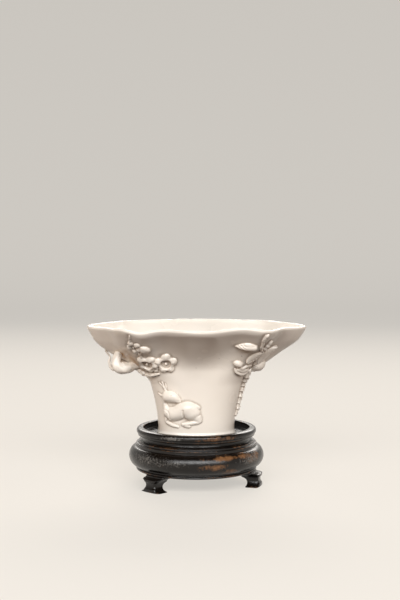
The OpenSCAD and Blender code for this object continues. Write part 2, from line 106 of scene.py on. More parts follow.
# %% Formula of the wall
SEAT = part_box("cup_body")[0].z / MM
RIM_LENGTH, RIM_WIDTH = 135.6, 94.0
FOOT_LENGTH, FOOT_WIDTH = 47.0, 39.2
CUP_HEIGHT, STEM_WALL, LIP_WALL = 67.2, 3.2, 2.2
# Lobes: their number, how far they stand out and dip in mm, and how far they shift from the ends in degrees
LOBES, LOBE_OUT, LOBE_DIP, LOBE_SHIFT = 8, 2.6, 0.2, 6
# The foot spreads by this many mm over this share of the height
FOOT_LIP, FOOT_LIP_SHARE = 1.0, 0.05
# The wall ends this share of the lip's thickness below the cup's height, which leaves room for the round lip
LIP_RISE = 0.66
WALL_HEIGHT = CUP_HEIGHT - LIP_RISE * LIP_WALL - LOBE_DIP
# Flare of the ends and of the sides: share of the lean, its power, and where the bell starts and ends
END_FLARE = (0.47, 1.85, 0.47, 0.905)
SIDE_FLARE = (0.42, 3.75, 0.62, 1.3)
# At the front and back the lip is drawn in by this many mm, from this share of the height on
LIP_TURN, LIP_TURN_SHARE = 1.4, 0.955
# Power of the oval at the foot and at the rim: 2 is an ellipse, and more squares it off
FOOT_POWER, RIM_POWER = 2.3, 2.0
# Shares of the height from which lobes, waves, wobble and chips fade in up to the lip
LOBES_FROM, WAVES_FROM, WOBBLE_FROM, CHIPS_FROM = 0.5, 0.7, 0.75, 0.965
# Wobble of the rim: number of waves round it, height in mm and phase; a share of it goes into the dip
RIM_WOBBLE, WOBBLE_DIP = ((3, 0.12, 1), (5, 0.1, 2.2), (13, 0.08, 0)), 0.4
# Small chips of the far lip: angle, half width in degrees and depth in mm
LIP_CHIPS = ((104, 1.5, 0.5), (93.5, 1.0, 0.35), (62, 1.2, 0.3))
# Hollows pressed into the right end under the lip: angle, half width, share, half height and depth in mm
END_HOLLOWS = ((346, 34, 0.79, 0.085, 2.4), (325, 9, 0.89, 0.09, 2.0))
# Waves of the hand-worked front lip: angle, half width in degrees and rise in mm
LIP_WAVES = ((268, 40, 1.0), (228, 6.5, 1.0), (240, 6, -1.4), (278, 8, -0.4), (297, 8, 1.2))


def smooth(u):
    """0 below 0, 1 above 1, and an even S between them."""
    v = np.clip(u, 0, 1)
    return v * v * (3 - 2 * v)


def fade_in(s, start):
    """S from 0 at a share of the height to 1 at the lip."""
    return smooth((s - start) / (1 - start))


def hump(u):
    """Bell curve: 1 at 0, falling off over about 1 on either side."""
    return np.exp(-(u ** 2))


def bump(t, middle, half):
    """A hump at a middle angle that falls off round the oval over about a half width."""
    return hump(((t - middle + 180) % 360 - 180) / half)


def flare(s, form):
    """Share of the way from foot to rim: a lean that grows as a power of the height, and a bell that is an S
    between two heights, scaled to be 1 at the rim."""
    lean, power, start, end = form
    bell = smooth((s - start) / (end - start)) / smooth((1 - start) / (end - start))
    return lean * np.maximum(s, 0) ** power + (1 - lean) * bell


def squared_off(v, power):
    """Sine or cosine raised to 2 / power with its sign kept: 2 leaves a circle, more squares it off."""
    return np.sign(v) * np.abs(v) ** (2 / power)


def rounded(v, s):
    """Sine or cosine squared off a little at the foot, and less and less up to the rim."""
    return squared_off(v, FOOT_POWER + (RIM_POWER - FOOT_POWER) * smooth(s))


def wall(t, s):
    """Points of the outer wall in mm: an oval of half sizes a and b at height s, with lobes, hollows at the
    right end, an uneven hand-worked rim and a few chips in the far lip."""
    angle = np.radians(t)
    shifted = angle - math.radians(LOBE_SHIFT) * np.sin(2 * angle)
    lobe = np.cos(LOBES * shifted) * fade_in(s, LOBES_FROM)
    wobble = sum(high * np.sin(waves * angle + phase) for waves, high, phase in RIM_WOBBLE)
    wobble = wobble * fade_in(s, WOBBLE_FROM)
    extra = FOOT_LIP * (1 - smooth(s / FOOT_LIP_SHARE)) + LOBE_OUT * lobe + wobble
    for end, wide, share, high, depth in END_HOLLOWS:
        extra = extra - depth * bump(t, end, wide) * hump((s - share) / high)
    a = FOOT_LENGTH / 2 + (RIM_LENGTH / 2 - LOBE_OUT - FOOT_LENGTH / 2) * flare(s, END_FLARE) + extra
    turn_up = LIP_TURN * (np.maximum(s - LIP_TURN_SHARE, 0) / (1 - LIP_TURN_SHARE)) ** 2
    reach = RIM_WIDTH / 2 + LIP_TURN - LOBE_OUT - FOOT_WIDTH / 2
    b = FOOT_WIDTH / 2 + reach * flare(s, SIDE_FLARE) + extra - turn_up
    dip = LOBE_DIP * lobe + WOBBLE_DIP * wobble
    for middle, half, depth in LIP_CHIPS:
        dip = dip + depth * bump(t, middle, half) * fade_in(s, CHIPS_FROM)
    for middle, half, rise in LIP_WAVES:
        dip = dip - rise * bump(t, middle, half) * fade_in(s, WAVES_FROM)
    z = SEAT + WALL_HEIGHT * s - dip
    return np.stack(np.broadcast_arrays(a * rounded(np.cos(angle), s), b * rounded(np.sin(angle), s), z), -1)


print("rim from", wall(np.array([180.0, 0.0]), 1.0)[:, 0].round(1), "mm, seat at", round(SEAT, 2), "mm")

# %% [markdown]
# ## Directions on the wall
# A drawing is laid on the wall in millimetres, so we need to know which way the wall runs at a place. Small
# steps to either side give its two slopes, round the wall and up it. Their cross product is the normal, and
# together they turn a step in millimetres into a step in angle and share.

# %% Directions on the wall
STEP_T, STEP_S = 0.05, 0.0005


def along(t, s):
    """How a point of the wall moves for each degree round it."""
    return (wall(t + STEP_T, s) - wall(t - STEP_T, s)) / (2 * STEP_T)


def upward(t, s):
    """How a point of the wall moves for each whole share of height up it."""
    return (wall(t, s + STEP_S) - wall(t, s - STEP_S)) / (2 * STEP_S)


def unit(v):
    """Vectors divided by their lengths."""
    return v / np.linalg.norm(v, axis=-1, keepdims=True)


def dot(a, b):
    """Products of vectors, summed over x, y and z."""
    return (a * b).sum(-1)


def outward(t, s):
    """Unit normal of the wall."""
    return unit(np.cross(along(t, s), upward(t, s)))


def spot(place, x, y):
    """Places reached from a place by going x mm round the wall and y mm up it."""
    u, v = along(*place), upward(*place)
    across = unit(u)
    up = np.cross(outward(*place), across)
    rise = y / dot(v, up)
    return place[0] + (x - rise * dot(v, across)) / np.linalg.norm(u), place[1] + rise


print("10 mm along the front of the rim is", round(float(spot((270.0, 1.0), 10, 0)[0]) - 270, 2), "degrees")

# %% [markdown]
# ## Colour and node helpers
# Colours are given as sRGB hex values, and the shader works in linear light, so one function turns one into
# the other. Another adds a shader node with its settings and its links in one call, which keeps a material
# readable as a list of what it is made of.

# %% Helpers for materials
def linear(hex_colour):
    """An sRGB hex colour as linear red, green, blue and alpha."""
    c = np.array([int(hex_colour[i:i + 2], 16) for i in (1, 3, 5)]) / 255
    rgb = np.where(c <= 0.04045, c / 12.92, ((c + 0.055) / 1.055) ** 2.4)
    return (*rgb.tolist(), 1.0)


def add(tree, kind, settings=None, links=None):
    """One shader node. A setting is a property of the node or else an input, and a link is written as
    input: (node, output)."""
    node = tree.nodes.new("ShaderNode" + kind)
    for key, value in (settings or {}).items():
        if isinstance(key, str) and hasattr(node, key):
            setattr(node, key, value)
        else:
            node.inputs[key].default_value = value
    for key, (source, output) in (links or {}).items():
        tree.links.new(source.outputs[output], node.inputs[key])
    return node


def new_material(name):
    """A material with an empty node tree, and that tree."""
    material = bpy.data.materials.new(name)
    material.use_nodes = True
    material.node_tree.nodes.clear()
    return material, material.node_tree


# Inputs and output of a Mix node when it mixes colours
MIX_A, MIX_B, MIX_OUT = 6, 7, 2

# %% [markdown]
# ## Glazed porcelain
# The body is a warm white clay and the glaze a thick clear glass, so the eye sees an ivory colour under a
# sharp wet sheen. The glaze is a little deeper in tone where it lies thick. In the crevices round the sprigs a
# brown is painted that stands both for stain held in the glaze and for the shade that falls there, and near
# the handle lies an ochre stain. Iron specks a fraction of a millimetre wide are scattered over it. Two numbers
# on the points of each mesh say where the brown of stain and painted shade and the ochre stain lie.

# %% Glazed porcelain
# Sizes in the glaze: clouds of tone, spacing of specks, slow ripples and the peel of the fired skin
CLOUD_MM, SPECK_MM, RIPPLE_MM, PEEL_MM = 24, 11, 6, 0.9


def glazed_porcelain():
    """Clouded ivory, coloured by stain with painted shade, ochre and specks, under two sizes of ripple."""
    material, tree = new_material("glazed_porcelain")
    place = add(tree, "TexCoord")
    at = {"Vector": (place, "Object")}
    cloud = add(tree, "TexNoise", {"Scale": 1 / (CLOUD_MM * MM), "Detail": 3}, at)
    body = add(tree, "Mix", {"data_type": "RGBA", MIX_A: linear("#f5eee4"), MIX_B: linear("#ece3d6")},
               {0: (cloud, "Fac")})
    # Brown of stain in the crevices, which also paints the shade that falls there
    stain_and_shade = add(tree, "Attribute", {"attribute_name": "stain_and_shade"})
    stained_and_shaded = add(tree, "Mix", {"data_type": "RGBA", MIX_B: linear("#8f7862")},
                  {0: (stain_and_shade, "Fac"), MIX_A: (body, MIX_OUT)})
    ochre = add(tree, "Attribute", {"attribute_name": "ochre"})
    warmed = add(tree, "Mix", {"data_type": "RGBA", MIX_B: linear("#b58d5b")},
                 {0: (ochre, "Fac"), MIX_A: (stained_and_shaded, MIX_OUT)})
    dots = add(tree, "TexVoronoi", {"Scale": 1 / (SPECK_MM * MM)}, at)
    speck = add(tree, "MapRange", {"From Min": 0.02, "From Max": 0.035, "To Min": 0.7, "To Max": 0.0},
                {"Value": (dots, "Distance")})
    specked = add(tree, "Mix", {"data_type": "RGBA", MIX_B: linear("#6d5a48")},
                  {0: (speck, "Result"), MIX_A: (warmed, MIX_OUT)})
    sheen = add(tree, "MapRange", {"To Min": 0.2, "To Max": 0.32}, {"Value": (cloud, "Fac")})
    ripple = add(tree, "TexNoise", {"Scale": 1 / (RIPPLE_MM * MM), "Detail": 1}, at)
    waves = add(tree, "Bump", {"Strength": 0.35, "Distance": 0.12 * MM}, {"Height": (ripple, "Fac")})
    peel = add(tree, "TexNoise", {"Scale": 1 / (PEEL_MM * MM), "Detail": 1}, at)
    skin = add(tree, "Bump", {"Strength": 0.2, "Distance": 0.02 * MM},
               {"Height": (peel, "Fac"), "Normal": (waves, "Normal")})
    glaze = add(tree, "BsdfPrincipled", {"IOR": 1.5, "Coat Weight": 0.15, "Coat Roughness": 0.08},
                {"Base Color": (specked, MIX_OUT), "Roughness": (sheen, "Result"), "Normal": (skin, "Normal")})
    add(tree, "OutputMaterial", links={"Surface": (glaze, "BSDF")})
    return material


porcelain = glazed_porcelain()
print(porcelain.name, "with", len(porcelain.node_tree.nodes), "nodes")

# %% [markdown]
# ## From arrays to pieces
# A surface is worked out as whole arrays of points. Two helpers make its faces: one joins the points of a
# grid, and one closes a stack of rings with a fan at each end. Another lines up numbers for such a stack. A
# last one turns points and faces into an object at the origin, gives it its numbers and finish, and lets it
# stand for its solid.

# %% Helpers for meshes
def grid_faces(rows, columns, closed=False):
    """Four-cornered faces between neighbouring points of a grid; closed joins the last column to the first."""
    i, j = np.meshgrid(np.arange(rows - 1), np.arange(columns - (not closed)), indexing="ij")
    k = (j + 1) % columns
    corners = [i * columns + j, i * columns + k, (i + 1) * columns + k, (i + 1) * columns + j]
    return np.stack(corners, -1).reshape(-1, 4)


def closed_stack(rings):
    """Points and faces of a stack of rings, with a point on the axis of each end ring and a fan to it. The
    faces point outwards when the rings run anticlockwise, seen from where the stack ends."""
    count, n, _ = rings.shape
    poles = [rings[0].mean(0), rings[-1].mean(0)]
    points = np.vstack([rings.reshape(-1, 3), poles])
    i = np.arange(n)
    j = (i + 1) % n
    low = np.stack([j, i, np.full(n, count * n)], -1)
    top = (count - 1) * n
    high = np.stack([top + i, top + j, np.full(n, count * n + 1)], -1)
    return points, grid_faces(count, n, closed=True).tolist() + low.tolist() + high.tolist()


def on_rings(values):
    """Numbers for the points of a closed stack: one for each point of its rings, and 0 on both axis points."""
    return np.append(values.ravel(), [0, 0])


def make_piece(node, ending, points, faces, material, numbers):
    """Object at the origin that rides on the node's body and stands for the node; numbers go on its points."""
    mesh = bpy.data.meshes.new(f"{node}_{ending}")
    mesh.from_pydata((points * MM).tolist(), [], faces)
    mesh.shade_smooth()
    for key, values in numbers.items():
        mesh.attributes.new(key, "FLOAT", "POINT").data.foreach_set("value", values.astype(np.float32))
    mesh.materials.append(material)
    piece = bpy.data.objects.new(mesh.name, mesh)
    bpy.context.scene.collection.objects.link(piece)
    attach(piece, frame["nodes"][node]["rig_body"])
    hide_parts(node)


print("a grid of 3 by 4 points has", len(grid_faces(3, 4)), "faces, and", len(grid_faces(3, 4, closed=True)),
      "when it is closed")

# %% [markdown]
# ## Sprigs as reliefs
# A sprig was pressed in a mould, so it is a relief: one height over each point of the wall. That is how it is
# made here. A drawing in millimetres gives a height at every point of a fine grid, the grid is laid on the
# wall at the sprig's place, and each point is raised along the wall's normal. Where the height falls off, a
# soft skirt runs just under the glaze, so the sprig grows out of the wall with the small hollow that slip and
# glaze leave there. Cells that would lie well inside the wall are dropped, and an underside closes the piece.

# %% Reliefs on the wall
GRID_MM = 0.17
SKIRT_MM, SKIRT_BLEND_MM, UNDERSIDE_MM = -0.22, 0.3, -0.9
# Crevice stain and painted shade: fade height in mm, strength, limit, and passes of blur that find them
CREVICE_MM, CREVICE_STAIN_AND_SHADE, MOST_STAIN_AND_SHADE, CREVICE_PASSES = 0.3, 0.45, 0.9, 12
# A sprig meets the wall where its surface lies no further than this from it
CONTACT_MM = 0.12
contacts = []
# Ochre spots in the glaze: place, spread in mm and strength
OCHRE_SPOTS = (((217, 0.746), 3.2, 0.6), ((214.6, 0.706), 2.8, 0.7), ((212, 0.664), 2.3, 0.6),
               ((222, 0.79), 3.4, 0.35), ((202.6, 0.739), 3, 0.8), ((208, 0.765), 3, 0.7))


def ochre_at(points):
    """Strength of the ochre stain: a soft round spot about each place."""
    total = np.zeros(points.shape[:-1])
    for place, spread, strength in OCHRE_SPOTS:
        away = np.linalg.norm(points - wall(*place), axis=-1)
        total += strength * hump(away / spread)
    return total


def larger(a, b, blend):
    """The larger of two heights, with their meeting rounded over about the blend in mm."""
    return (a + b + np.sqrt((a - b) ** 2 + blend * blend)) / 2


def blurred(field, passes, closed=False):
    """Each pass mixes a cell with its four neighbours; a closed grid joins on to itself sideways."""
    for _ in range(passes):
        p = np.pad(field, 1, mode="edge")
        if closed:
            p[1:-1, 0], p[1:-1, -1] = field[:, -1], field[:, 0]
        field = (4 * field + p[:-2, 1:-1] + p[2:, 1:-1] + p[1:-1, :-2] + p[1:-1, 2:]) / 8
    return field


def kept_cells(height):
    """Cells that show over the wall or lie just under it, and more where two would touch at a corner alone."""
    shown = height > 0.5 * SKIRT_MM
    keep = shown[:-1, :-1] | shown[1:, :-1] | shown[:-1, 1:] | shown[1:, 1:]
    while True:
        a, b, c, d = keep[:-1, :-1], keep[:-1, 1:], keep[1:, :-1], keep[1:, 1:]
        crossed = (a & d & ~b & ~c) | (b & c & ~a & ~d)
        if not crossed.any():
            return keep
        for corner in (a, b, c, d):
            corner |= crossed


def relief(node, t, s, height, grime_and_shade=1.0):
    """Closed piece between the wall raised by a height and an underside inside the wall. The brown of stain and
    painted shade lies where the height is near 0 or under its own blur, and a strength for the sprig deepens
    it."""
    height = larger(height, SKIRT_MM, SKIRT_BLEND_MM)
    cells = grid_faces(*height.shape)[kept_cells(height).ravel()]
    used, top = np.unique(cells, return_inverse=True)
    top = top.reshape(-1, 4)
    n = len(used)
    edges = np.stack([top, np.roll(top, -1, 1)], -1).reshape(-1, 2)
    lone = ~np.isin(edges[:, 0] * n + edges[:, 1], edges[:, 1] * n + edges[:, 0])
    a, b = edges[lone].T
    faces = np.vstack([top, top[:, ::-1] + n, np.stack([b, a, a + n, b + n], -1)])
    t, s = t.ravel()[used], s.ravel()[used]
    base, normal = wall(t, s), outward(t, s)
    hollow = np.clip((blurred(height, CREVICE_PASSES) - height) / CREVICE_MM, 0, 1).ravel()[used]
    height = height.ravel()[used]
    points = np.vstack([base + height[:, None] * normal, base + UNDERSIDE_MM * normal])
    foot = hump(height / CREVICE_MM)
    # Stain and painted shade: darker where the relief meets the wall and in its hollows
    stain_and_shade = np.tile(np.clip(grime_and_shade * CREVICE_STAIN_AND_SHADE * (foot + hollow), 0, MOST_STAIN_AND_SHADE), 2)
    touching = np.abs(height) < CONTACT_MM
    contacts.append(np.stack([s[touching], t[touching] % 360], -1))
    make_piece(node, "glazed", points, faces.tolist(), porcelain,
               {"stain_and_shade": stain_and_shade, "ochre": ochre_at(points)})
    print(node, len(faces), "faces, highest", round(float(height.max()), 2), "mm")


def sprig(node, place, low, high, drawing, grime_and_shade=1.0):
    """Relief of a drawing(x, y) on a patch of the wall from low to high, in mm about a place."""
    x, y = np.meshgrid(np.arange(low[0], high[0], GRID_MM), np.arange(low[1], high[1], GRID_MM))
    t, s = spot(place, x, y)
    relief(node, t, s, drawing(x, y), grime_and_shade)


print("a sprig of 20 by 20 mm has", round(20 / GRID_MM) ** 2, "points on its grid")

# %% [markdown]
# ## Drawing with limbs
# A modeller builds a figure from rolls of clay, and the drawings are made the same way, of limbs. A limb is a
# smooth curve through a few points, each with a lift and a radius. Each short leg of the curve raises a half
# round about it, and the highest counts. Limbs that meet flow into each other over a small blend.

# %% Helpers for drawings
# Height that lies far inside the wall, and steps into which each leg of a limb is cut
SUNK_MM, LIMB_STEPS = -9.0, 5


def run_along(points):
    """Length of the way along a row of points, up to each of them."""
    return np.append(0, np.cumsum(np.linalg.norm(np.diff(points, axis=0), axis=1)))


def spline(rows, steps):
    """Smooth curve through rows of numbers, each leg cut in a number of steps."""
    rows = np.asarray(rows, float)
    ends = np.vstack([2 * rows[0] - rows[1], rows, 2 * rows[-1] - rows[-2]])
    u = np.linspace(0, 1, steps, endpoint=False)[:, None]
    legs = [b + ((c - a) * u + (2 * a - 5 * b + 4 * c - d) * u ** 2 + (3 * b - a - 3 * c + d) * u ** 3) / 2
            for a, b, c, d in zip(ends[:-3], ends[1:-2], ends[2:-1], ends[3:])]
    return np.vstack([*legs, rows[-1:]])


def dome(away, radius, flank=1.5):
    """Height of a half round at a distance from its axis; outside it a flank falls away at a slope."""
    return np.sqrt(np.maximum(radius ** 2 - away ** 2, 0)) - flank * np.maximum(away - radius, 0)


def limb(x, y, rows):
    """Height of a soft limb through rows of [x, y, lift, radius]: each leg of its curved axis gives a half
    round with the lift and radius of its nearest point, and the highest of them counts."""
    curve = spline(rows, LIMB_STEPS)
    height = np.full(x.shape, SUNK_MM)
    for (x0, y0, lift, radius), (dx, dy, dl, dr) in zip(curve[:-1], np.diff(curve, axis=0)):
        u = np.clip(((x - x0) * dx + (y - y0) * dy) / (dx * dx + dy * dy), 0, 1)
        away = np.hypot(x - x0 - u * dx, y - y0 - u * dy)
        height = np.maximum(height, lift + u * dl + dome(away, radius + u * dr))
    return height


def figure(x, y, limbs, blend):
    """Several limbs that flow into each other."""
    height = np.full(x.shape, SUNK_MM)
    for rows in limbs:
        height = larger(height, limb(x, y, rows), blend)
    return height


def turned(x, y, degrees):
    """Coordinates along and across a drawing that points at an angle."""
    c, s = math.cos(math.radians(degrees)), math.sin(math.radians(degrees))
    return c * x + s * y, c * y - s * x


print("a roll of 2 mm radius is", float(dome(0, 2)), "mm high, and", float(dome(3, 2)), "mm at 1 mm beside it")

# %% [markdown]
# ## Prunus blossoms
# A prunus blossom is a five-lobed cup: round petals with thick raised edges about a hollow, with a button in
# the middle and a ring of fine stamens. Each petal is a dome on its own centre, with fine veins. A collar joins
# the five, the hollow is pressed into them together, and the button is a bead set into it. The first blossom
# is crumpled at its lower right, so a few small limbs are laid over it there.

# %% Prunus blossoms
PETALS, VEINS, STAMENS = 5, 9, 20
# Shares of a petal's radius: rise of its cushion, of its veins and of the hollow's floor, and the button
CUSHION, VEIN, HEART, BUTTON = 0.8, 0.03, 0.05, 0.38
# Width of a petal over its length, share of the reach at which the collar lies, and lift of the collar
PETAL_WIDE, COLLAR_AT, COLLAR_LIFT = 1.06, 0.88, 0.52


def blossom(reach, petal, collar, hollow, tall, turn):
    """Drawing of a blossom whose petals have their middles at a reach from the heart and a radius; the collar
    that joins them and the edge of the hollow are shares of these, and it is drawn out up the wall."""
    def drawing(x, y):
        y = y / tall
        r = np.hypot(x, y)
        height = np.full(x.shape, SUNK_MM)
        for k in range(PETALS):
            u, v = turned(x, y, turn + 360 * k / PETALS)
            away = np.hypot(u - reach, v / PETAL_WIDE) / petal
            vein = VEIN * np.cos(VEINS * np.arctan2(v, u - 0.2 * reach)) * smooth((1 - away) / 0.4)
            height = larger(height, petal * (CUSHION * dome(away, 1, 3) + vein), 0.1)
        ring = COLLAR_LIFT * collar * petal + dome(np.abs(r - COLLAR_AT * reach), collar * petal)
        height = larger(height, ring, 0.25)
        sunk = smooth((hollow * reach - r) / (0.2 * reach))
        stamens = HEART * petal * np.cos(STAMENS * np.arctan2(y, x)) * smooth((r / reach - 0.3) / 0.2)
        height = height * (1 - sunk) + (HEART * petal + stamens) * sunk
        return larger(height, 0.1 * petal + 1.2 * dome(r, BUTTON * petal), 0.1)
    return drawing


# Blossoms: reach, petal radius, collar, hollow and how far it is drawn out up the wall
LARGE, SMALL = (4.5, 2.6, 0.46, 0.82, 1), (3.3, 1.8, 0.14, 0.6, 1.25)
# Crumpled bits of petal at the lower right of the first blossom
CRUMPLED = (((2.6, -4.5, -0.1, 1), (3.2, -4.9, -0.1, 0.9)), ((5, -3.2, -0.1, 1.2), (5.7, -4, -0.1, 1)),
            ((4.9, -5.9, -0.2, 1), (3.6, -6.4, -0.2, 0.9)))
BLOSSOMS = (("prunus_blossom_1", (230.3, 0.694), LARGE, 58, CRUMPLED),
            ("prunus_blossom_2", (246.7, 0.698), LARGE, 92, ()),
            ("prunus_blossom_3", (232.8, 0.858), SMALL, 46, ()),
            ("prunus_blossom_4", (140, 0.735), LARGE, 100, ()),
            ("prunus_blossom_5", (112, 0.8), SMALL, 50, ()))
# Bare wall round a blossom on its grid
BLOSSOM_MARGIN_MM = 0.9
for node, place, form, turn, bits in BLOSSOMS:
    reach, petal, _, _, tall = form
    half = (reach + petal) * tall + BLOSSOM_MARGIN_MM
    flower = blossom(*form, turn)
    sprig(node, place, (-half, -half), (half, half),
          lambda x, y: larger(flower(x, y), figure(x, y, bits, 0.1), 0.1), grime_and_shade=1.1)

# %% [markdown]
# ## Buds, leaves and the open magnolia
# A bud is a few swollen scales wrapped on each other, so it is drawn as limbs side by side that meet in sharp
# creases. A leaf is a cushion with pointed ends, a sunk midrib and slanting veins. The open flower is three
# crescent petals seen from the side with a round one turned out at the left.

# %% Buds and leaves
# Leaf: power of its swell, rise as a share of its width, and spacing and rise of its veins
BLADE_SWELL, BLADE_RISE, VEIN_MM, VEIN_RISE_MM = 0.8, 0.26, 1.9, 0.07
# Depth and half width of a leaf's midrib, and spacing and rise of the ridges on a pointed bud
MIDRIB_MM, MIDRIB_HALF_MM, RIDGE_MM, RIDGE_RISE_MM = 0.5, 0.3, 1.5, 0.17


def blade(length, width, angle):
    """Drawing of a leaf from its foot to its tip: a cushion across it, a sunk midrib and slanting veins."""
    def drawing(x, y):
        u, v = turned(x, y, angle)
        share = np.clip(u / length, 0, 1)
        half = width / 2 * (0.1 + 0.9 * np.sin(math.pi * share ** BLADE_SWELL) ** BLADE_SWELL)
        past = np.abs(u - np.clip(u, 0, length))
        away = np.hypot(v, past) / half
        inside = smooth((1 - away) / 0.35)
        veins = VEIN_RISE_MM * np.cos(2 * math.pi * (u - 1.1 * np.abs(v)) / VEIN_MM) * inside
        midrib = MIDRIB_MM * hump(v / MIDRIB_HALF_MM) * inside * (1 - 0.6 * share)
        return BLADE_RISE * width * dome(away, 1, 1.2) + veins - midrib
    return drawing


def pointed_bud(length, thick, angle):
    """Drawing of a bud of three scales that run from its foot to its point, with slanting ridges on its upper
    half."""
    def drawing(x, y):
        u, v = turned(x, y, angle)
        height = np.full(x.shape, SUNK_MM)
        for side in (-1, 1, 0):
            lift = 0.1 if side == 0 else -0.05
            rows = np.array([[0, 0.06 * side, lift, 0.34], [0.28, 0.2 * side, lift, 0.4],
                             [0.6, 0.17 * side, lift, 0.3], [1, 0, 0, 0.08]])
            height = larger(height, limb(u, v, rows * [length, thick, thick, thick]), 0.06)
        upper = smooth(height / 0.8) * smooth((u / length - 0.3) / 0.3)
        return height + RIDGE_RISE_MM * np.cos(2 * math.pi * (v + 0.5 * u) / RIDGE_MM) * upper
    return drawing


def scaly_bud(rows, size, angle):
    """Drawing of a bud of three limbs at a size: the same limb to one side, in the middle and mirrored."""
    rows = np.array(rows, float) * size

    def drawing(x, y):
        u, v = turned(x, y, angle)
        return figure(u, v, [rows * [1, side, 1, 1] for side in (-1, 0, 1)], 0.08)
    return drawing


# Leaves: place, length and width in mm, and the angle at which they point in degrees
LEAVES = (("magnolia_leaf_1", (309, 0.709), 13, 6, 45), ("magnolia_leaf_2", (325.6, 0.692), 16.8, 7.6, 54),
          ("magnolia_leaf_3", (22, 0.68), 14, 5, 70))
for node, place, length, width, angle in LEAVES:
    reach = np.array([math.cos(math.radians(angle)), math.sin(math.radians(angle))]) * length
    low, high = np.minimum(reach, 0) - 0.7 * width, np.maximum(reach, 0) + 0.7 * width
    sprig(node, place, low, high, blade(length, width, angle))

sprig("magnolia_bud_1", (304.6, 0.858), (-15, -5), (4, 5), pointed_bud(10.8, 5.8, 180))
# Scales of the round bud, as shares of its size, and of the prunus bud, in mm: along, across, lift and radius
KNOB_ROWS = ((-0.2, 0.01, -0.08, 0.45), (0, 0.01, -0.02, 0.5), (0.2, 0.01, -0.08, 0.43))
sprig("magnolia_bud_2", (336.4, 0.669), (-8, -8), (8, 8), scaly_bud(KNOB_ROWS, 8.2, 60))
PRUNUS_BUD_ROWS = ((-2.6, 0, -0.2, 1.2), (-0.8, 0.8, 0.1, 1.9), (1.2, 0.9, 0.1, 2), (2.7, 0.5, -0.2, 1.3))
sprig("prunus_bud", (239, 0.849), (-6, -6), (6, 6), scaly_bud(PRUNUS_BUD_ROWS, 1, -40))

# Petals of the open flower as rows of x, y, lift and radius in mm: the round one and the three crescents
FLOWER_LIMBS = (
    ((-1.9, 2.2, -0.4, 2.6), (-1.5, 1.7, -0.4, 2.6)),
    ((-3.4, -2.2, -0.2, 0.8), (-1.6, -4.8, 0.2, 1.1), (3.2, -6.3, 0.4, 1.2), (8, -6, 0.25, 1.1),
     (11.4, -4.4, -0.1, 0.8)),
    ((-0.8, -1.2, -0.2, 1.1), (1.9, -1.9, 0, 1.3), (4.4, -0.6, -0.1, 1.2), (8.6, -0.3, -0.3, 0.9)),
    ((-0.8, -2.8, -0.7, 1.9), (3.4, -4.2, -0.7, 2.1), (8, -3.9, -0.7, 1.8)),
)
sprig("magnolia_blossom", (307.9, 0.671), (-8, -9), (14, 9), lambda x, y: figure(x, y, FLOWER_LIMBS, 0.1))

# %% [markdown]
# ## The deer and the crane
# The lying deer with its head turned back, and the crane on the far side, are wishes for long life. Each is
# drawn as a few limbs with a soft blend, as a modeller lays rolls of clay, and then cut with small details.

# %% Deer and crane
# Limbs of the deer as rows of x, y, lift and radius in mm: body, haunch, neck, back, head, antlers with a
# tine, ear, foreleg, hind leg, hoof and tail
DEER_LIMBS = (
    ((-3.8, -4.6, -1.9, 4.7), (0.6, -3.6, -2.1, 4.8), (4.4, -1.6, -2.6, 5.4)),
    ((6.2, -1.2, -2.6, 5.9), (7.9, -3.2, -2.2, 5.1)),
    ((-6.8, -3.4, -1.2, 3.8), (-8.2, 0.4, -0.6, 2.2), (-8.4, 3.6, -0.5, 2.2), (-7.2, 6.4, -0.4, 2.6)),
    ((-5.4, -2.2, -1.4, 2.6), (-1, -2, -2, 3.4), (3, -0.5, -2.2, 4.2)),
    ((-5.9, 6.5, -0.6, 3.8), (-2.5, 6.4, -0.4, 3.6), (1.2, 4.3, -0.3, 1.6)),
    ((-6.6, 9.8, -0.1, 0.8), (-7.8, 12, -0.2, 0.75), (-8.3, 15.2, -0.25, 0.6)),
    ((-7.2, 11, -0.1, 0.65), (-6.4, 12.6, -0.2, 0.65), (-6.4, 14.4, -0.25, 0.5)),
    ((-8, 12.2, -0.15, 0.65), (-10.6, 14.6, -0.25, 0.5)),
    ((-9, 6.6, -0.1, 0.9), (-11.6, 7, -0.15, 0.8), (-13.6, 7.9, -0.2, 0.55)),
    ((-7.6, -7.2, -0.6, 2), (-8, -9, -0.3, 1.5), (-3.4, -10.9, -0.3, 1.3), (0.9, -11.8, -0.3, 1.05)),
    ((11, -6, -1, 2.6), (11.9, -8.4, -0.4, 1.6), (8.8, -9.4, -0.3, 1.45), (4, -10.3, -0.3, 1.15)),
    ((5.9, -11.1, -0.2, 1.1), (7.6, -11.4, -0.2, 1.1)),
    ((9.6, 1.6, 0, 1.1), (11.2, 0.2, 0, 1), (11.4, -0.8, -0.1, 0.7)),
)
# Lines cut into the deer, as points, half width and depth in mm: haunch, jaw, neck, shoulder, eye and mouth
DEER_CUTS = (
    (((4, -1.4), (4.3, -4.2), (5.2, -6.6), (7.4, -8)), 0.7, 0.6),
    (((-7.6, 2.5), (-4.4, 2.1), (-0.4, 2.7)), 0.6, 0.9),
    (((-10.6, 5), (-10.6, 1.4), (-9.9, -2.4), (-9, -6)), 0.5, 0.25),
    (((-6.6, -1.6), (-4.4, -3.4), (-3.8, -6.6)), 0.6, 0.3),
    (((-2.6, 7.6), (-2.2, 7.7)), 0.35, 0.3),
    (((0.5, 4.5), (1.9, 4.2)), 0.25, 0.2),
)
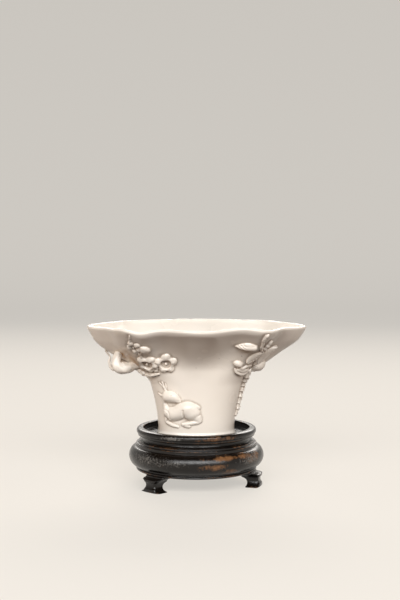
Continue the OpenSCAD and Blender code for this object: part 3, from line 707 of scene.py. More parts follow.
# Limbs of the crane: body with the tail, neck with the head and beak, and two legs
CRANE_LIMBS = (
    ((-4, -1, -1.4, 3), (1, 0.6, -1.4, 3.4), (5, -0.6, -1.2, 2.4), (8.4, -3, -0.5, 1.1)),
    ((-4.2, 0.6, -0.4, 2), (-5.2, 4.4, -0.1, 1.2), (-3.6, 7.6, 0, 1), (-4, 10.6, 0, 0.95), (-5.8, 11.6, 0, 1.2),
     (-9.2, 11, -0.1, 0.5)),
    ((-1.4, -1.4, -0.4, 1.1), (-1.6, -8, -0.1, 0.7), (-1.4, -12.6, -0.1, 0.7), (-3.6, -13.2, -0.1, 0.5)),
    ((1.4, -1.2, -0.4, 1.1), (2.6, -7, -0.1, 0.7), (1.6, -12.6, -0.1, 0.7), (3.8, -13.2, -0.1, 0.5)),
)
# Lines cut into the crane: the fold of the wing, three long feathers and the eye
CRANE_CUTS = (
    (((-3.4, 1.8), (-0.4, -0.8), (3.4, -1.8), (6.4, -2.6)), 0.4, 0.5),
    (((-0.4, 2.4), (2.4, 1), (5.8, -1.2)), 0.3, 0.35),
    (((-1.6, 1.4), (1.4, 0.2), (5, -1.6)), 0.3, 0.35),
    (((1.4, 2.8), (4.2, 1), (6.4, -0.8)), 0.3, 0.35),
    (((-6, 11.9), (-5.8, 11.9)), 0.3, 0.3),
)


def cut_figure(x, y, limbs, cuts, blend):
    """Limbs that flow into each other, with soft lines cut along rows of points."""
    height = figure(x, y, limbs, blend)
    for rows, half, depth in cuts:
        line = limb(x, y, [(*row, 0, half) for row in rows])
        height = height - depth * smooth(line / half) * smooth(height / 0.6)
    return height


sprig("deer", (245, 0.28), (-15, -14), (15, 18),
      lambda x, y: cut_figure(x, y, DEER_LIMBS, DEER_CUTS, 0.35), grime_and_shade=0.7)
sprig("crane", (92, 0.3), (-12, -15), (11, 14),
      lambda x, y: cut_figure(x, y, CRANE_LIMBS, CRANE_CUTS, 0.25), grime_and_shade=0.7)

# %% [markdown]
# ## Branches, twigs and the scaly trunk
# A branch follows a path of places on the wall. Its relief is laid on a ribbon of the wall: one coordinate
# runs along the path and one across it, and the section is a half round with a little bark on it. The trunk
# on the right end has overlapping scales, so its radius steps up and down every few millimetres.

# %% Branches and trunk
# Length of a scale of the trunk, and steps into which each leg of a path is cut
SCALE_MM, RIBBON_STEPS = 4.2, 14


def ribbon(path, thick, lift, bark, half):
    """Places and heights of a branch of a thickness along rows of [t, s, share of thickness], on a ribbon of
    the wall of a half width."""
    rows = spline(path, RIBBON_STEPS)
    run = run_along(wall(rows[:, 0], rows[:, 1]))
    reach = 0.6 * thick + 0.6
    lead = (rows[0] - rows[1]) * reach / run[1]
    tail = (rows[-1] - rows[-2]) * reach / (run[-1] - run[-2])
    rows = np.vstack([rows[0] + lead, rows, rows[-1] + tail])
    marks = np.hstack([-reach, run, run[-1] + reach])
    u = np.arange(-reach, run[-1] + reach, GRID_MM)
    t, s, share = (np.interp(u, marks, column) for column in rows.T)
    a, b = along(t, s), upward(t, s)
    forward = unit(np.gradient(wall(t, s), axis=0))
    across = np.cross(outward(t, s), forward)
    aa, ab, bb, pa, pb = dot(a, a), dot(a, b), dot(b, b), dot(a, across), dot(b, across)
    per_t = (pa * bb - pb * ab) / (aa * bb - ab * ab)
    per_s = (pb * aa - pa * ab) / (aa * bb - ab * ab)
    v = np.arange(-half, half, GRID_MM)[:, None]
    past = u - np.clip(u, 0, run[-1])
    radius = np.clip(share, 0.3, 2) * thick / 2
    height = lift * thick + dome(np.hypot(v, past), radius * (1 + bark(u, v)))
    return t + v * per_t, s + v * per_s, height


def knotty(u, v):
    """Bark of a branch: slow swellings and long grooves."""
    return 0.08 * np.sin(1.7 * u) + 0.06 * np.sin(0.8 * u + 2) + 0.05 * np.sin(5 * v + 0.9 * u)


def plain(u, v):
    """Bark of a twig: a slow swelling at each node."""
    return 0.1 * np.sin(2.2 * u)


def scaly(u, v):
    """Bark of the trunk: overlapping scales, each row set half a scale from the next."""
    phase = (u / SCALE_MM + 0.25 * np.sign(v)) % 1
    return 0.55 * phase ** 1.5 - 0.25 + 0.05 * np.cos(4 * v)


PRUNUS_BRANCH = ((190, 0.626, 0.6), (198, 0.62, 0.9), (201, 0.604, 1.15), (205, 0.586, 1.2), (213, 0.577, 1.05),
                 (224, 0.585, 0.8), (232, 0.595, 0.5))
PRUNUS_BACK = ((196, 0.66, 0.9), (186, 0.7, 0.9), (176, 0.73, 0.8), (165, 0.74, 0.85), (152, 0.71, 0.75),
               (138, 0.67, 0.7), (124, 0.68, 0.6), (110, 0.73, 0.5), (100, 0.79, 0.4))
TRUNK = ((332, 0.618, 0.6), (339, 0.57, 0.8), (347, 0.53, 0.95), (354, 0.48, 0.9), (357, 0.43, 1),
         (358, 0.385, 0.88), (358, 0.34, 1), (357.8, 0.295, 0.82), (357, 0.25, 0.92), (354.5, 0.21, 0.7),
         (351, 0.175, 0.5))
MAGNOLIA_BRANCH = ((333, 0.645, 0.8), (327, 0.672, 0.8), (322, 0.701, 0.75), (317.7, 0.754, 0.7),
                   (314.5, 0.806, 0.65), (310.5, 0.845, 0.7), (308.8, 0.896, 0.75), (308.2, 0.942, 0.65),
                   (308.2, 0.98, 0.3))
# Branches: path, thickness in mm, lift as a share of it, bark, and half width of the ribbon in mm
BRANCHES = (("prunus_branch", PRUNUS_BRANCH, 3, 0.05, knotty, 3.1),
            ("prunus_back_branch", PRUNUS_BACK, 3, 0.05, knotty, 2.6),
            ("magnolia_branch", MAGNOLIA_BRANCH, 3, 0.05, knotty, 2.6),
            ("magnolia_trunk", TRUNK, 4.6, -0.04, scaly, 3.9))
for node, *form in BRANCHES:
    relief(node, *ribbon(*form))

# %% [markdown]
# Twigs of one tree count as a single sprig, so their ribbons go into one piece. Their grids are set end to end
# with sunk columns between them. Those are dropped, so each ribbon is closed by itself.

# %% Twigs
PRUNUS_TWIGS = (((231.8, 0.757, 1), (232.8, 0.789, 1), (234.2, 0.828, 0.8), (234.2, 0.845, 0.7)),
                ((232.8, 0.789, 1), (235.6, 0.812, 0.9), (237.6, 0.832, 0.8)),
                ((232.6, 0.89, 0.9), (232.9, 0.937, 0.8), (233.5, 0.96, 0.7), (233.8, 0.976, 0.5)))
MAGNOLIA_TWIGS = (((314, 0.812, 1.2), (314, 0.86, 1.9), (315.4, 0.912, 1.5)),
                  ((308.3, 0.94, 1.4), (308.8, 0.962, 1.4), (309.8, 0.982, 1.1)),
                  ((352, 0.6, 1), (364, 0.635, 1), (374, 0.66, 0.8), (381, 0.7, 0.6)))
TWIG_MM, TWIG_LIFT, TWIG_REACH_MM = 1.6, 0.1, 2.7


def twigs(node, paths):
    """One relief of several ribbons of the same width, set end to end with sunk columns between them."""
    columns = []
    for path in paths:
        t, s, height = ribbon(path, TWIG_MM, TWIG_LIFT, plain, TWIG_REACH_MM)
        height[:, [0, -1]] = SUNK_MM
        columns.append((t, s, height))
    relief(node, *(np.hstack(parts) for parts in zip(*columns)))


twigs("prunus_twigs", PRUNUS_TWIGS)
twigs("magnolia_twigs", MAGNOLIA_TWIGS)

# %% [markdown]
# ## The looped limb
# At the left end the prunus limb leaves the wall in a short loop, the handle of the cup. It isn't a relief,
# because there is air behind it. It is a profile carried along a path: a path of places, each with a lift off
# the wall and a thickness, and round sections square to it that swell and shrink like a cut branch.

# %% Looped limb
LIMB_MM = 6.2
LOOP = ((204, 0.64, -0.2, 0.55), (203, 0.657, 0.03, 0.74), (202, 0.67, 0.34, 0.98), (202, 0.683, 0.66, 1.14),
        (202, 0.708, 1.02, 1.26), (202, 0.732, 1.14, 1.14), (202, 0.75, 0.95, 0.98), (202, 0.762, 0.5, 0.88),
        (202, 0.772, -0.06, 0.8))
# A thin shoot that leaves the wall above the limb and joins it
SHOOT = ((183.4, 0.795, 0.02, 0.14), (182.6, 0.775, 0.17, 0.22), (182.4, 0.753, 0.35, 0.18),
         (184, 0.748, 0.69, 0.3), (187, 0.744, 0.97, 0.24), (190, 0.732, 1.23, 0.36), (195, 0.722, 1.4, 0.28),
         (200, 0.714, 1.2, 0.2))
# Sides of a section, steps into which each leg is cut, passes of blur, and share of the ochre that it takes
LOOP_SIDES, LOOP_STEPS, BARK_PASSES, LOOP_OCHRE = 96, 18, 8, 0.1


def loop_limb(rows):
    """Rings of a limb through rows of [t, s, lift, thickness], the last two as shares of the limb's thickness:
    a smooth curve of middles off the wall, and round sections with soft ridges of bark."""
    t, s, lift, share = spline(rows, LOOP_STEPS).T
    normal = outward(t, s)
    middle = wall(t, s) + (lift * LIMB_MM)[:, None] * normal
    forward = unit(np.gradient(middle, axis=0))
    side = unit(np.cross(forward, normal))
    front = np.cross(side, forward)
    run = run_along(middle)[:, None]
    turn = np.linspace(0, 2 * math.pi, LOOP_SIDES, endpoint=False)
    knots = 0.05 * np.sin(3 * turn + 0.5 * run) + 0.04 * np.sin(5 * turn - 0.8 * run)
    radius = (share * LIMB_MM / 2)[:, None] * (1 + knots)
    section = np.cos(turn)[:, None] * front[:, None] + np.sin(turn)[:, None] * side[:, None]
    points = middle[:, None] + radius[..., None] * section
    return np.stack([blurred(axis, BARK_PASSES, closed=True) for axis in np.moveaxis(points, -1, 0)], -1)


points, faces = closed_stack(loop_limb(LOOP))
shoot_points, shoot_faces = closed_stack(loop_limb(SHOOT))
faces = faces + [[i + len(points) for i in face] for face in shoot_faces]
points = np.vstack([points, shoot_points])
make_piece("prunus_handle", "glazed", points, faces, porcelain,
           {"stain_and_shade": np.zeros(len(points)), "ochre": LOOP_OCHRE * ochre_at(points)})
print("prunus_handle", len(faces), "faces")

# %% [markdown]
# ## The cup
# The body is one closed skin: from the hollow under the foot, round the foot ring, up the outer wall, over the
# lip, down inside and across the floor. It is a stack of rings that all follow the wall's formula, moved
# inwards along the normal for the inner side. Each stretch of the skin has its own function.

# %% Rings of the cup
# Points round a ring, and rings on the outer wall, the inner wall, the lip and the fillet of the floor
AROUND, OUTER, INNER, LIP, FILLET = 384, 132, 84, 14, 10
# In mm: floor over the seat, its fillet, breadth of the foot ring, hollow under the foot and arris of the foot
FLOOR_HEIGHT, FLOOR_FILLET, FOOT_RING, FOOT_HOLLOW, ARRIS = 9.0, 5.0, 4.5, 2.0, 0.6
# Share of the height at which the foot's level normals are read
NORMALS_AT = 0.1
ROUND = np.linspace(0, 360, AROUND, endpoint=False)
FLOOR_SHARE = (FLOOR_HEIGHT + FLOOR_FILLET) / WALL_HEIGHT


def level(s):
    """Angles and shares of a stack of level rings."""
    return np.broadcast_arrays(ROUND, np.asarray(s, float)[:, None])


def foot_lines(inset, rise):
    """Rings drawn in from the foot of the wall by an inset along its level normals, at a rise over the seat."""
    flat_normal = unit(outward(ROUND, np.full(AROUND, NORMALS_AT)) * [1, 1, 0])
    line = wall(ROUND, np.zeros(AROUND)) - np.asarray(inset)[:, None, None] * flat_normal
    line[..., 2] = SEAT + np.asarray(rise)[:, None]
    return line


def inner_wall(s):
    """The outer wall moved in by the wall's thickness, which thins from the stem to the lip."""
    t, s = level(s)
    thick = STEM_WALL + (LIP_WALL - STEM_WALL) * smooth(s)
    return wall(t, s) - thick[..., None] * outward(t, s)


def lip_rings():
    """Half round from the outer edge over the top to the inner edge."""
    t, turn = level(np.linspace(0, math.pi, LIP + 1)[1:])
    one = np.ones_like(t)
    n = outward(t, one)
    up = np.cross(n, unit(along(t, one)))
    r = LIP_WALL / 2
    return wall(t, one) - r * (1 - np.cos(turn))[..., None] * n + r * np.sin(turn)[..., None] * up


def floor_rings():
    """Quarter round from the inner wall to the floor, and the floor drawn in to its middle."""
    edge = inner_wall([FLOOR_SHARE])[0]
    reach = np.linalg.norm(edge[:, :2], axis=1)
    turn = np.linspace(0, math.pi / 2, FILLET + 1)[1:, None]
    inset = FLOOR_FILLET * (1 - np.cos(turn))
    rings = edge * ((reach - inset) / reach)[..., None]
    rings[..., 2] = SEAT + FLOOR_HEIGHT + FLOOR_FILLET * (1 - np.sin(turn))
    shrink = np.array([0.75, 0.5, 0.25, 0.08])[:, None, None]
    middle = rings[-1] * ([1, 1, 0] * shrink) + [0, 0, SEAT + FLOOR_HEIGHT]
    return np.vstack([rings, middle])


print("the inner floor lies", FLOOR_HEIGHT, "mm over the seat, under a wall of", AROUND, "points round")

# %% [markdown]
# The stretches are stacked in order and closed. The brown of stain and painted shade in the crevices is found
# from the sprigs: the places where they meet the wall are marked on its grid and blurred. One more soft patch
# of painted shade darkens the pocket behind the magnolia twigs.

# %% Cup body
# Stain and painted shade of the crevices: gain after the blur, strength, and passes of blur
CREVICE_GAIN, CREVICE_SHARE, CUP_PASSES = 1.5, 0.7, 4
# Painted shade in the pocket behind the magnolia twigs: angle, half width in degrees, share, half height and
# strength
POCKET_T, POCKET_HALF, POCKET_S, POCKET_HIGH, POCKET_SHADE = 321, 13, 0.9, 0.07, 0.4

outer_shares = np.linspace(ARRIS / WALL_HEIGHT, 1, OUTER)
corner = np.linspace(0, math.pi / 2, 5)[1:-1]
under = foot_lines([FOOT_RING + 12, FOOT_RING + 6, FOOT_RING + 0.6, FOOT_RING],
                   [FOOT_HOLLOW, FOOT_HOLLOW, FOOT_HOLLOW, FOOT_HOLLOW - 0.5])
ring_foot = foot_lines([FOOT_RING, FOOT_RING - 0.3, 1.2, ARRIS, *(ARRIS * (1 - np.sin(corner)))],
                       [0.3, 0, 0, 0, *(ARRIS * (1 - np.cos(corner)))])
outer_wall = wall(*level(outer_shares))
inner_rings = inner_wall(np.linspace(1, FLOOR_SHARE, INNER)[1:])
cup_rings = np.vstack([under, ring_foot, outer_wall, lip_rings(), inner_rings, floor_rings()])

marks, _, _ = np.histogram2d(*np.vstack(contacts).T, bins=(OUTER, AROUND), range=((0, 1), (0, 360)))
crevice = np.clip(CREVICE_GAIN * blurred((marks > 0).astype(float), CUP_PASSES, closed=True), 0, 1)
# A soft patch of painted shade in the pocket
pocket_shade = bump(ROUND, POCKET_T, POCKET_HALF) * hump((outer_shares[:, None] - POCKET_S) / POCKET_HIGH)
stain_and_shade, ochre = np.zeros((2, *cup_rings.shape[:2]))
first = len(under) + len(ring_foot)
# The brown here is stain and painted shade in the crevices, plus painted shade in the pocket
stain_and_shade[first:first + OUTER] = np.clip(CREVICE_SHARE * crevice + POCKET_SHADE * pocket_shade, 0, 1)
ochre[first:first + OUTER] = ochre_at(outer_wall)
points, faces = closed_stack(cup_rings)
make_piece("cup_body", "glazed", points, faces, porcelain,
           {"stain_and_shade": on_rings(stain_and_shade), "ochre": on_rings(ochre)})
print("cup_body", len(faces), "faces")

# %% [markdown]
# ## Lacquered hardwood
# The stand is a dense dark hardwood, turned, stained nearly black and lacquered. Along the arrises and where
# hands lift it the lacquer is worn through to red-brown wood. The grain runs straight through the block, so
# its streaks are drawn along one direction. Dents and pores break up the shine, and pale flecks of dust lie in
# the scuffs. Two numbers on the points of a mesh, wear and scuff, say where, and the feet carry wear alone.

# %% Lacquered hardwood
# Sizes in the wood: streaks and how far they are drawn out, pores, and patches, crumbs and flecks of wear
GRAIN_MM, GRAIN_STRETCH, PORE_MM, PATCH_MM, CRUMB_MM, FLECK_MM = 1.1, 14, 0.35, 7, 1.5, 1.0


def lacquered_hardwood():
    """Dark lacquer that gives way to bare wood where wear plus noise passes a limit, and is flecked with pale
    dust where scuff plus noise does."""
    material, tree = new_material("lacquered_hardwood")
    place = add(tree, "TexCoord")
    at = {"Vector": (place, "Object")}
    drawn_out = add(tree, "Mapping", {"Scale": (1 / GRAIN_STRETCH, 1, 1)}, at)
    streaks = {"Vector": (drawn_out, "Vector")}
    grain = add(tree, "TexNoise", {"Scale": 1 / (GRAIN_MM * MM), "Detail": 4}, streaks)
    lacquer = add(tree, "Mix", {"data_type": "RGBA", MIX_A: linear("#080605"), MIX_B: linear("#16100c")},
                  {0: (grain, "Fac")})
    bare = add(tree, "Mix", {"data_type": "RGBA", MIX_A: linear("#4a3020"), MIX_B: linear("#a5764c")},
               {0: (grain, "Fac")})
    wear = add(tree, "Attribute", {"attribute_name": "wear"})
    patch = add(tree, "TexNoise", {"Scale": 1 / (PATCH_MM * MM), "Detail": 2}, at)
    crumb = add(tree, "TexNoise", {"Scale": 1 / (CRUMB_MM * MM), "Detail": 4, "Roughness": 0.7}, at)
    rough_patch = add(tree, "Math", {"operation": "ADD"}, {0: (patch, "Fac"), 1: (crumb, "Fac")})
    broken = add(tree, "Math", {"operation": "ADD"}, {0: (wear, "Fac"), 1: (rough_patch, "Value")})
    worn = add(tree, "MapRange", {"From Min": 1.35, "From Max": 1.75, "To Max": 0.9},
               {"Value": (broken, "Value")})
    wood = add(tree, "Mix", {"data_type": "RGBA"},
               {0: (worn, "Result"), MIX_A: (lacquer, MIX_OUT), MIX_B: (bare, MIX_OUT)})
    scuff = add(tree, "Attribute", {"attribute_name": "scuff"})
    motes = add(tree, "TexNoise", {"Scale": 1 / (FLECK_MM * MM), "Detail": 3, "Roughness": 0.7}, at)
    rubbed = add(tree, "Math", {"operation": "ADD"}, {0: (scuff, "Fac"), 1: (motes, "Fac")})
    fleck = add(tree, "MapRange", {"From Min": 0.76, "From Max": 0.98, "To Max": 0.6},
                {"Value": (rubbed, "Value")})
    flecked = add(tree, "Mix", {"data_type": "RGBA", MIX_B: linear("#8f8c86")},
                  {0: (fleck, "Result"), MIX_A: (wood, MIX_OUT)})
    polish = add(tree, "MapRange", {"From Min": 0.3, "From Max": 0.7, "To Min": 0.1, "To Max": 0.28},
                 {"Value": (crumb, "Fac")})
    pores = add(tree, "TexNoise", {"Scale": 1 / (PORE_MM * MM), "Detail": 2}, streaks)
    dents = add(tree, "Bump", {"Strength": 0.5, "Distance": 0.25 * MM}, {"Height": (crumb, "Fac")})
    skin = add(tree, "Bump", {"Strength": 0.3, "Distance": 0.1 * MM},
               {"Height": (pores, "Fac"), "Normal": (dents, "Normal")})
    shader = add(tree, "BsdfPrincipled", {"IOR": 1.5, "Specular IOR Level": 0.42},
                 {"Base Color": (flecked, MIX_OUT), "Roughness": (polish, "Result"),
                  "Normal": (skin, "Normal")})
    add(tree, "OutputMaterial", links={"Surface": (shader, "BSDF")})
    return material


hardwood = lacquered_hardwood()
print(hardwood.name, "with", len(hardwood.node_tree.nodes), "nodes")

# %% [markdown]
# ## The turned pieces of the stand
# A turned piece is one outline spun round its axis. The outline is drawn with straight lines and arcs, and
# then worn: points are spread evenly along it and each is averaged with its neighbours, which rounds every
# arris as years of handling do. Where the outline still turns sharply outwards, the lacquer is rubbed off.

# %% Turned pieces
# Sides of a turned piece, and radius in mm at which its outline starts and ends
LATHE_SIDES, AXIS_R = 288, 0.02
# Outline: spacing of its first points in mm, points averaged to either side and spread of their weights
FINE_MM, SOFT_POINTS, SOFT_SPREAD = 0.1, 9, 4.0
# Outline: longest step in mm and largest turn in degrees between its last points
LONGEST_MM, LARGEST_TURN = 2.5, 9
# Radians per mm at which an arris is fully worn, strength of that wear, and radius from which hands reach it
SHARP_BEND, ARRIS_WEAR, REACHED_R = 1.2, 0.42, 25
# Patches on the turned pieces: angle, height in mm, spread in degrees, spread in mm, strength
WEAR_PATCHES = ((-70, 33.2, 19, 2, 0.58), (-65, 22.2, 22, 1.3, 0.66), (-76, 17.4, 14, 2, 0.62),
                (-60, 13.9, 9, 1.8, 0.68), (-34, 20.5, 19, 5, 0.47), (60, 20, 20, 4, 0.4),
                (170, 33, 18, 3, 0.3), (120, 15, 14, 3, 0.4))
SCUFF_PATCHES = ((-138, 20, 28, 5, 0.33), (-113, 33.5, 13, 1.6, 0.48), (-106, 19.4, 12, 2, 0.24),
                 (-36, 19.5, 18, 5, 0.4), (-150, 33, 14, 2.5, 0.26), (20, 20, 20, 5, 0.26),
                 (140, 20, 30, 4, 0.26))


def patches(rows, angle, z):
    """Sum of soft patches at angles in radians and heights in mm."""
    total = 0
    for middle, height, wide, high, strength in rows:
        total = total + strength * bump(np.degrees(angle), middle, wide) * hump((z - height) / high)
    return total


def arc(r, z, radius, start, end, steps=24):
    """Points of an arc about (r, z) between two angles in degrees."""
    turn = np.radians(np.linspace(start, end, steps))
    return np.stack([r + radius * np.cos(turn), z + radius * np.sin(turn)], -1)


def read_off(places, marks, rows):
    """Each column of rows read off at places between the marks."""
    return np.stack([np.interp(places, marks, column) for column in rows.T], -1)


def worn_outline(*parts):
    """Outline with its corners rounded by averaging, and the share of wear on its outward arrises. Its points
    lie closer together where it bends."""
    rough = np.vstack([np.atleast_2d(part) for part in parts])
    run = run_along(rough)
    fine = read_off(np.arange(0, run[-1], FINE_MM), run, rough)
    n = SOFT_POINTS
    kernel = hump(np.arange(-n, n + 1) / SOFT_SPREAD)
    kernel /= kernel.sum()
    padded = np.vstack([2 * fine[:1] - fine[n:0:-1], fine, 2 * fine[-1:] - fine[-2:-n - 2:-1]])
    worn = np.stack([np.convolve(column, kernel, "valid") for column in padded.T], -1)
    worn[0, 0] = worn[-1, 0] = AXIS_R
    heading = np.unwrap(np.arctan2(*np.gradient(worn, axis=0).T[::-1]))
    bend = np.gradient(heading) / FINE_MM
    turns = np.abs(np.diff(heading)) / math.radians(LARGEST_TURN)
    need = np.append(0, np.cumsum(FINE_MM / LONGEST_MM + turns))
    places = np.linspace(0, need[-1], int(need[-1]) + 2)
    return read_off(places, need, worn), np.interp(places, need, np.clip(bend / SHARP_BEND, 0, 1))


def turn_piece(node, *parts):
    """Closed piece of revolution with numbers for its wear."""
    outline, arris = worn_outline(*parts)
    angle = np.linspace(0, 2 * math.pi, LATHE_SIDES, endpoint=False)
    r, z = outline[:, :1], outline[:, 1:]
    uneven = 1 + 0.0012 * np.sin(2 * angle + z / 5) + 0.0006 * np.sin(7 * angle - z / 3)
    rings = np.stack(np.broadcast_arrays(r * uneven * np.cos(angle), r * uneven * np.sin(angle), z), -1)
    points, faces = closed_stack(rings)
    wear = ARRIS_WEAR * arris[:, None] * (0.8 + 0.2 * np.sin(3 * angle + z)) * (r > REACHED_R)
    wear = wear + patches(WEAR_PATCHES, angle, z)
    make_piece(node, "turned", points, faces, hardwood,
               {"wear": on_rings(wear), "scuff": on_rings(patches(SCUFF_PATCHES, angle, z))})
    print(node, len(faces), "faces")


# %% [markdown]
# The dish holds the cup's foot in a round recess and sits with a spigot in the base. The base has a bead at its
# bottom, a round belly and a narrow step under the dish. Both outlines start and end on the axis.

# %% Dish and base
RECESS_R, RIM_R, BELLY_R, WAIST_R = 33.0, 37.2, 42.0, 32.6
DISH_BOTTOM, RIM_TOP, FOOT_HEIGHT = 27.4, 35.5, 9.4
SPIGOT_R, SPIGOT_L, SPIGOT_GAP, UNDER_R, UNDER_TOP = 20.0, 5.0, 0.2, 29.0, 18.2
BELLY_MID, BELLY_ROUND, BELLY_LOW, BELLY_HIGH = 18.2, 7.0, 12.2, 24.2
LISTEL_R, LISTEL_STEP, LISTEL_DROP, BEAD_R = 37.5, 1.4, 1.2, 0.8
WAIST_ROUND, WAIST_MID, RIM_ROUND, RIM_SET = 2.1, 29.2, 2, 0.8
spigot_end = DISH_BOTTOM - SPIGOT_L

turn_piece(
    "stand_dish",
    (0, spigot_end), (SPIGOT_R, spigot_end), (SPIGOT_R, DISH_BOTTOM), (WAIST_R + 1.1, DISH_BOTTOM),
    arc(WAIST_R + WAIST_ROUND, WAIST_MID, WAIST_ROUND, 239, 130),
    (RIM_R - RIM_SET, SEAT - RIM_SET), (RIM_R - RIM_SET, SEAT + 0.3),
    arc(RIM_R - RIM_ROUND, RIM_TOP - RIM_ROUND, RIM_ROUND, -53, 90),
    (RECESS_R, RIM_TOP), (RECESS_R, SEAT), (0, SEAT),
)
turn_piece(
    "stand_base",
    (0, UNDER_TOP), (UNDER_R, UNDER_TOP), (UNDER_R, FOOT_HEIGHT),
    arc(LISTEL_R - BEAD_R, FOOT_HEIGHT + BEAD_R, BEAD_R, -90, 80, 12),
    (LISTEL_R - BEAD_R, BELLY_LOW),
    arc(BELLY_R - BELLY_ROUND, BELLY_MID, BELLY_ROUND, -59, 59, 40),
    (LISTEL_R, BELLY_HIGH), (LISTEL_R, DISH_BOTTOM - LISTEL_DROP),
    (LISTEL_R - LISTEL_STEP, DISH_BOTTOM - LISTEL_DROP), (LISTEL_R - LISTEL_STEP, DISH_BOTTOM),
    (SPIGOT_R, DISH_BOTTOM), (SPIGOT_R, spigot_end - SPIGOT_GAP), (0, spigot_end - SPIGOT_GAP),
)

# %% [markdown]
# ## Bracket feet
# Each foot is sawn from a thick block that follows the curve of the base: wide at the top, drawn in at the
# neck and spread again at the sole. Level slices of it are rounded rectangles, so the foot is a stack of
# rings whose width and depth come from the outlines of the cut at each height.

# %% Bracket feet
FOOT_ANGLES = (-134, -14, 106)
FOOT_SPAN, FOOT_SET, NECK, FOOT_ARRIS = 16.0, 0.6, 0.45 * FOOT_HEIGHT, 0.35
# Height of the inner scoop, radii of the inner, outer and side scoops, and height from which the top draws in
INNER_MID, INNER_SCOOP, OUTER_SCOOP = 0.2 * FOOT_HEIGHT, 0.4 * FOOT_HEIGHT, 0.3 * FOOT_HEIGHT
SIDE_SCOOP, TOP_FROM = 0.24 * FOOT_SPAN, 0.86 * FOOT_HEIGHT
SOLE_WEAR, SOLE_WEAR_MM = 0.4, 1.2
FOOT_LEVELS, FOOT_SIDES, CORNER_POWER = 56, 120, 7


def scooped(z, middle, radius):
    """Depth at a height of a round scoop."""
    return np.sqrt(np.maximum(radius ** 2 - (z - middle) ** 2, 0))


def bracket_foot(node, degrees):
    """Stack of rounded rectangles between an inner and an outer radius, with a half width at each height; all
    three are averaged over a few levels and drawn in by a small arris at the top and the sole."""
    z = np.linspace(0, FOOT_HEIGHT, FOOT_LEVELS)
    soft = np.hanning(7) / np.hanning(7).sum()
    inner = UNDER_R + FOOT_SET + scooped(z, INNER_MID, INNER_SCOOP)
    outer = np.minimum(BELLY_R - FOOT_SET, BELLY_R + 2 * FOOT_SET - scooped(z, NECK, OUTER_SCOOP))
    outer = np.where(z > TOP_FROM, np.minimum(outer, LISTEL_R), outer)
    half = FOOT_SPAN / 2 - scooped(z, NECK, SIDE_SCOOP)
    inner, outer, half = (np.convolve(np.pad(v, 3, mode="edge"), soft, "valid") for v in (inner, outer, half))
    middle = FOOT_HEIGHT / 2
    edge = FOOT_ARRIS * hump(20 * (((z - middle) / middle) ** 2 - 1))
    turn = np.linspace(0, 2 * math.pi, FOOT_SIDES, endpoint=False)
    c, s = (squared_off(v, CORNER_POWER) for v in (np.cos(turn), np.sin(turn)))
    r = ((inner + outer) / 2)[:, None] + ((outer - inner) / 2 - edge)[:, None] * c
    w = (half - edge)[:, None] * s
    x = np.sqrt(r * r - w * w)
    a = math.radians(degrees)
    rings = np.stack(np.broadcast_arrays(x * math.cos(a) - w * math.sin(a), x * math.sin(a) + w * math.cos(a),
                                         z[:, None]), -1)
    points, faces = closed_stack(rings)
    sole = SOLE_WEAR * hump(z / SOLE_WEAR_MM)[:, None] * np.ones(FOOT_SIDES)
    make_piece(node, "carved", points, faces, hardwood, {"wear": on_rings(sole)})
    print(node, len(faces), "faces")


for k, degrees in enumerate(FOOT_ANGLES):
    bracket_foot(f"stand_foot_{k + 1}", degrees)

# %% [markdown]
# ## Studio
# A pale seamless floor rises gently all round, so no horizon cuts the picture from any side. It is pale to the
# camera and in mirrored and transmitted light. To all other light it is a dark brown that throws little back,
# so the shade under the flare keeps its depth.

# %% Floor
FLOOR_FLAT, FLOOR_EDGE, FLOOR_RISE = 1.3, 3.2, 2.2
FLOOR_RINGS, FLOOR_SIDES = 60, 96


def studio_floor():
    """Floor in metres that is flat in the middle and rises in an S to its edge."""
    material, tree = new_material("pale_paper")
    path = add(tree, "LightPath")
    mirrored = add(tree, "Math", {"operation": "ADD"},
                   {0: (path, "Is Glossy Ray"), 1: (path, "Is Transmission Ray")})
    seen = add(tree, "Math", {"operation": "ADD"}, {0: (path, "Is Camera Ray"), 1: (mirrored, "Value")})
    colour = add(tree, "Mix", {"data_type": "RGBA", MIX_A: linear("#3d2413"), MIX_B: linear("#98938c")},
                 {0: (seen, "Value")})
    paper = add(tree, "BsdfDiffuse", links={"Color": (colour, MIX_OUT)})
    lift = add(tree, "Emission", {"Color": linear("#e3dfd8"), "Strength": 0.7})
    shown = add(tree, "AddShader", links={0: (paper, "BSDF"), 1: (lift, "Emission")})
    either = add(tree, "MixShader", links={0: (seen, "Value"), 1: (paper, "BSDF"), 2: (shown, "Shader")})
    add(tree, "OutputMaterial", links={"Surface": (either, "Shader")})
    r = np.linspace(0.01, FLOOR_EDGE, FLOOR_RINGS)[:, None]
    angle = np.linspace(0, 2 * math.pi, FLOOR_SIDES, endpoint=False)
    rise = FLOOR_RISE * smooth((r - FLOOR_FLAT) / (FLOOR_EDGE - FLOOR_FLAT)) ** 1.5
    points = np.stack(np.broadcast_arrays(r * np.cos(angle), r * np.sin(angle), rise), -1).reshape(-1, 3)
    mesh = bpy.data.meshes.new("studio_floor")
    faces = grid_faces(FLOOR_RINGS, FLOOR_SIDES, closed=True)[:, ::-1].tolist()
    mesh.from_pydata(points.tolist(), [], faces + [list(range(FLOOR_SIDES))])
    mesh.shade_smooth()
    mesh.materials.append(material)
    floor = bpy.data.objects.new("studio_floor", mesh)
    bpy.context.scene.collection.objects.link(floor)


studio_floor()
print("the floor rises", FLOOR_RISE, "m at", FLOOR_EDGE, "m from the cup")

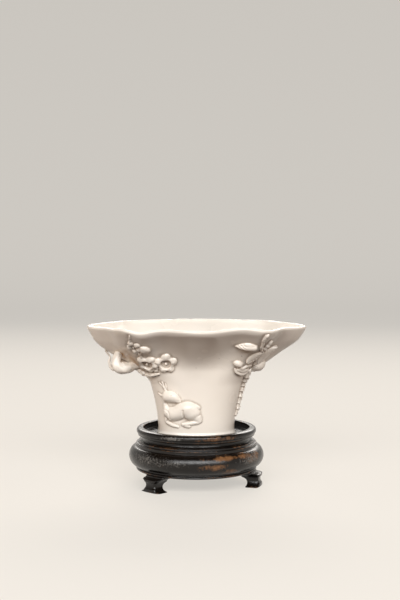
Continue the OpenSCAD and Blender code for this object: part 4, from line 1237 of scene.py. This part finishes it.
# %% [markdown]
# One large soft light stands in front and above, as a window would, and a weaker one behind lights the hidden
# side. Only these two show in the glaze and the lacquer. A small cool light from above, three low warm ones and
# a weak warm surrounding fill the shade. The low ones have a narrow spread, so they light the cup and leave no
# bright pool on the floor.

# %% Lights
def soft_light(name, place, aim, size, watts, colour, mirrored=False, spread=180):
    """Area light of a width and height at a place, turned to a point; only a mirrored one shows in the gloss,
    and a narrow spread keeps a low one off the floor before it."""
    data = bpy.data.lights.new(name, "AREA")
    data.shape = "RECTANGLE"
    data.size, data.size_y = size
    data.energy = watts
    data.color = linear(colour)[:3]
    data.spread = math.radians(spread)
    light = bpy.data.objects.new(name, data)
    place, aim = np.array(place), np.array(aim)
    away = unit(place - aim)
    light.location = place
    light.rotation_euler = (math.acos(away[2]), 0, math.atan2(away[1], away[0]) + math.pi / 2)
    light.visible_camera = False
    light.visible_glossy = mirrored
    bpy.context.scene.collection.objects.link(light)


soft_light("key", (0.02, -1.07, 0.74), (0, 0, 0.07), (2.3, 0.6), 13.6, "#ffffff", True, spread=120)
soft_light("top", (0.0, -0.25, 1.3), (0, 0, 0.1), (0.5, 0.5), 1.0, "#eef4ff")
soft_light("left", (-1.0, -0.75, 0.06), (0, 0, 0.09), (0.5, 0.5), 0.16, "#ffcf9f", spread=40)
soft_light("left_back", (-1.2, 0.4, 0.05), (0, 0, 0.09), (0.5, 0.5), 0.4, "#ffead6", spread=40)
soft_light("right", (1.2, -0.35, 0.2), (0, 0, 0.09), (0.5, 0.5), 0.12, "#ffcf9f", spread=40)
soft_light("back", (0.1, 1.1, 0.72), (0, 0, 0.08), (1.5, 0.6), 5.2, "#fffaf4", True, spread=90)
world = bpy.data.worlds.new("studio_world")
bpy.context.scene.world = world
world.use_nodes = True
world.node_tree.nodes["Background"].inputs["Color"].default_value = linear("#e9ae7a")
world.node_tree.nodes["Background"].inputs["Strength"].default_value = 0.042
bpy.context.scene.view_settings.view_transform = "Standard"
print("lights:", [light.name for light in bpy.data.lights])
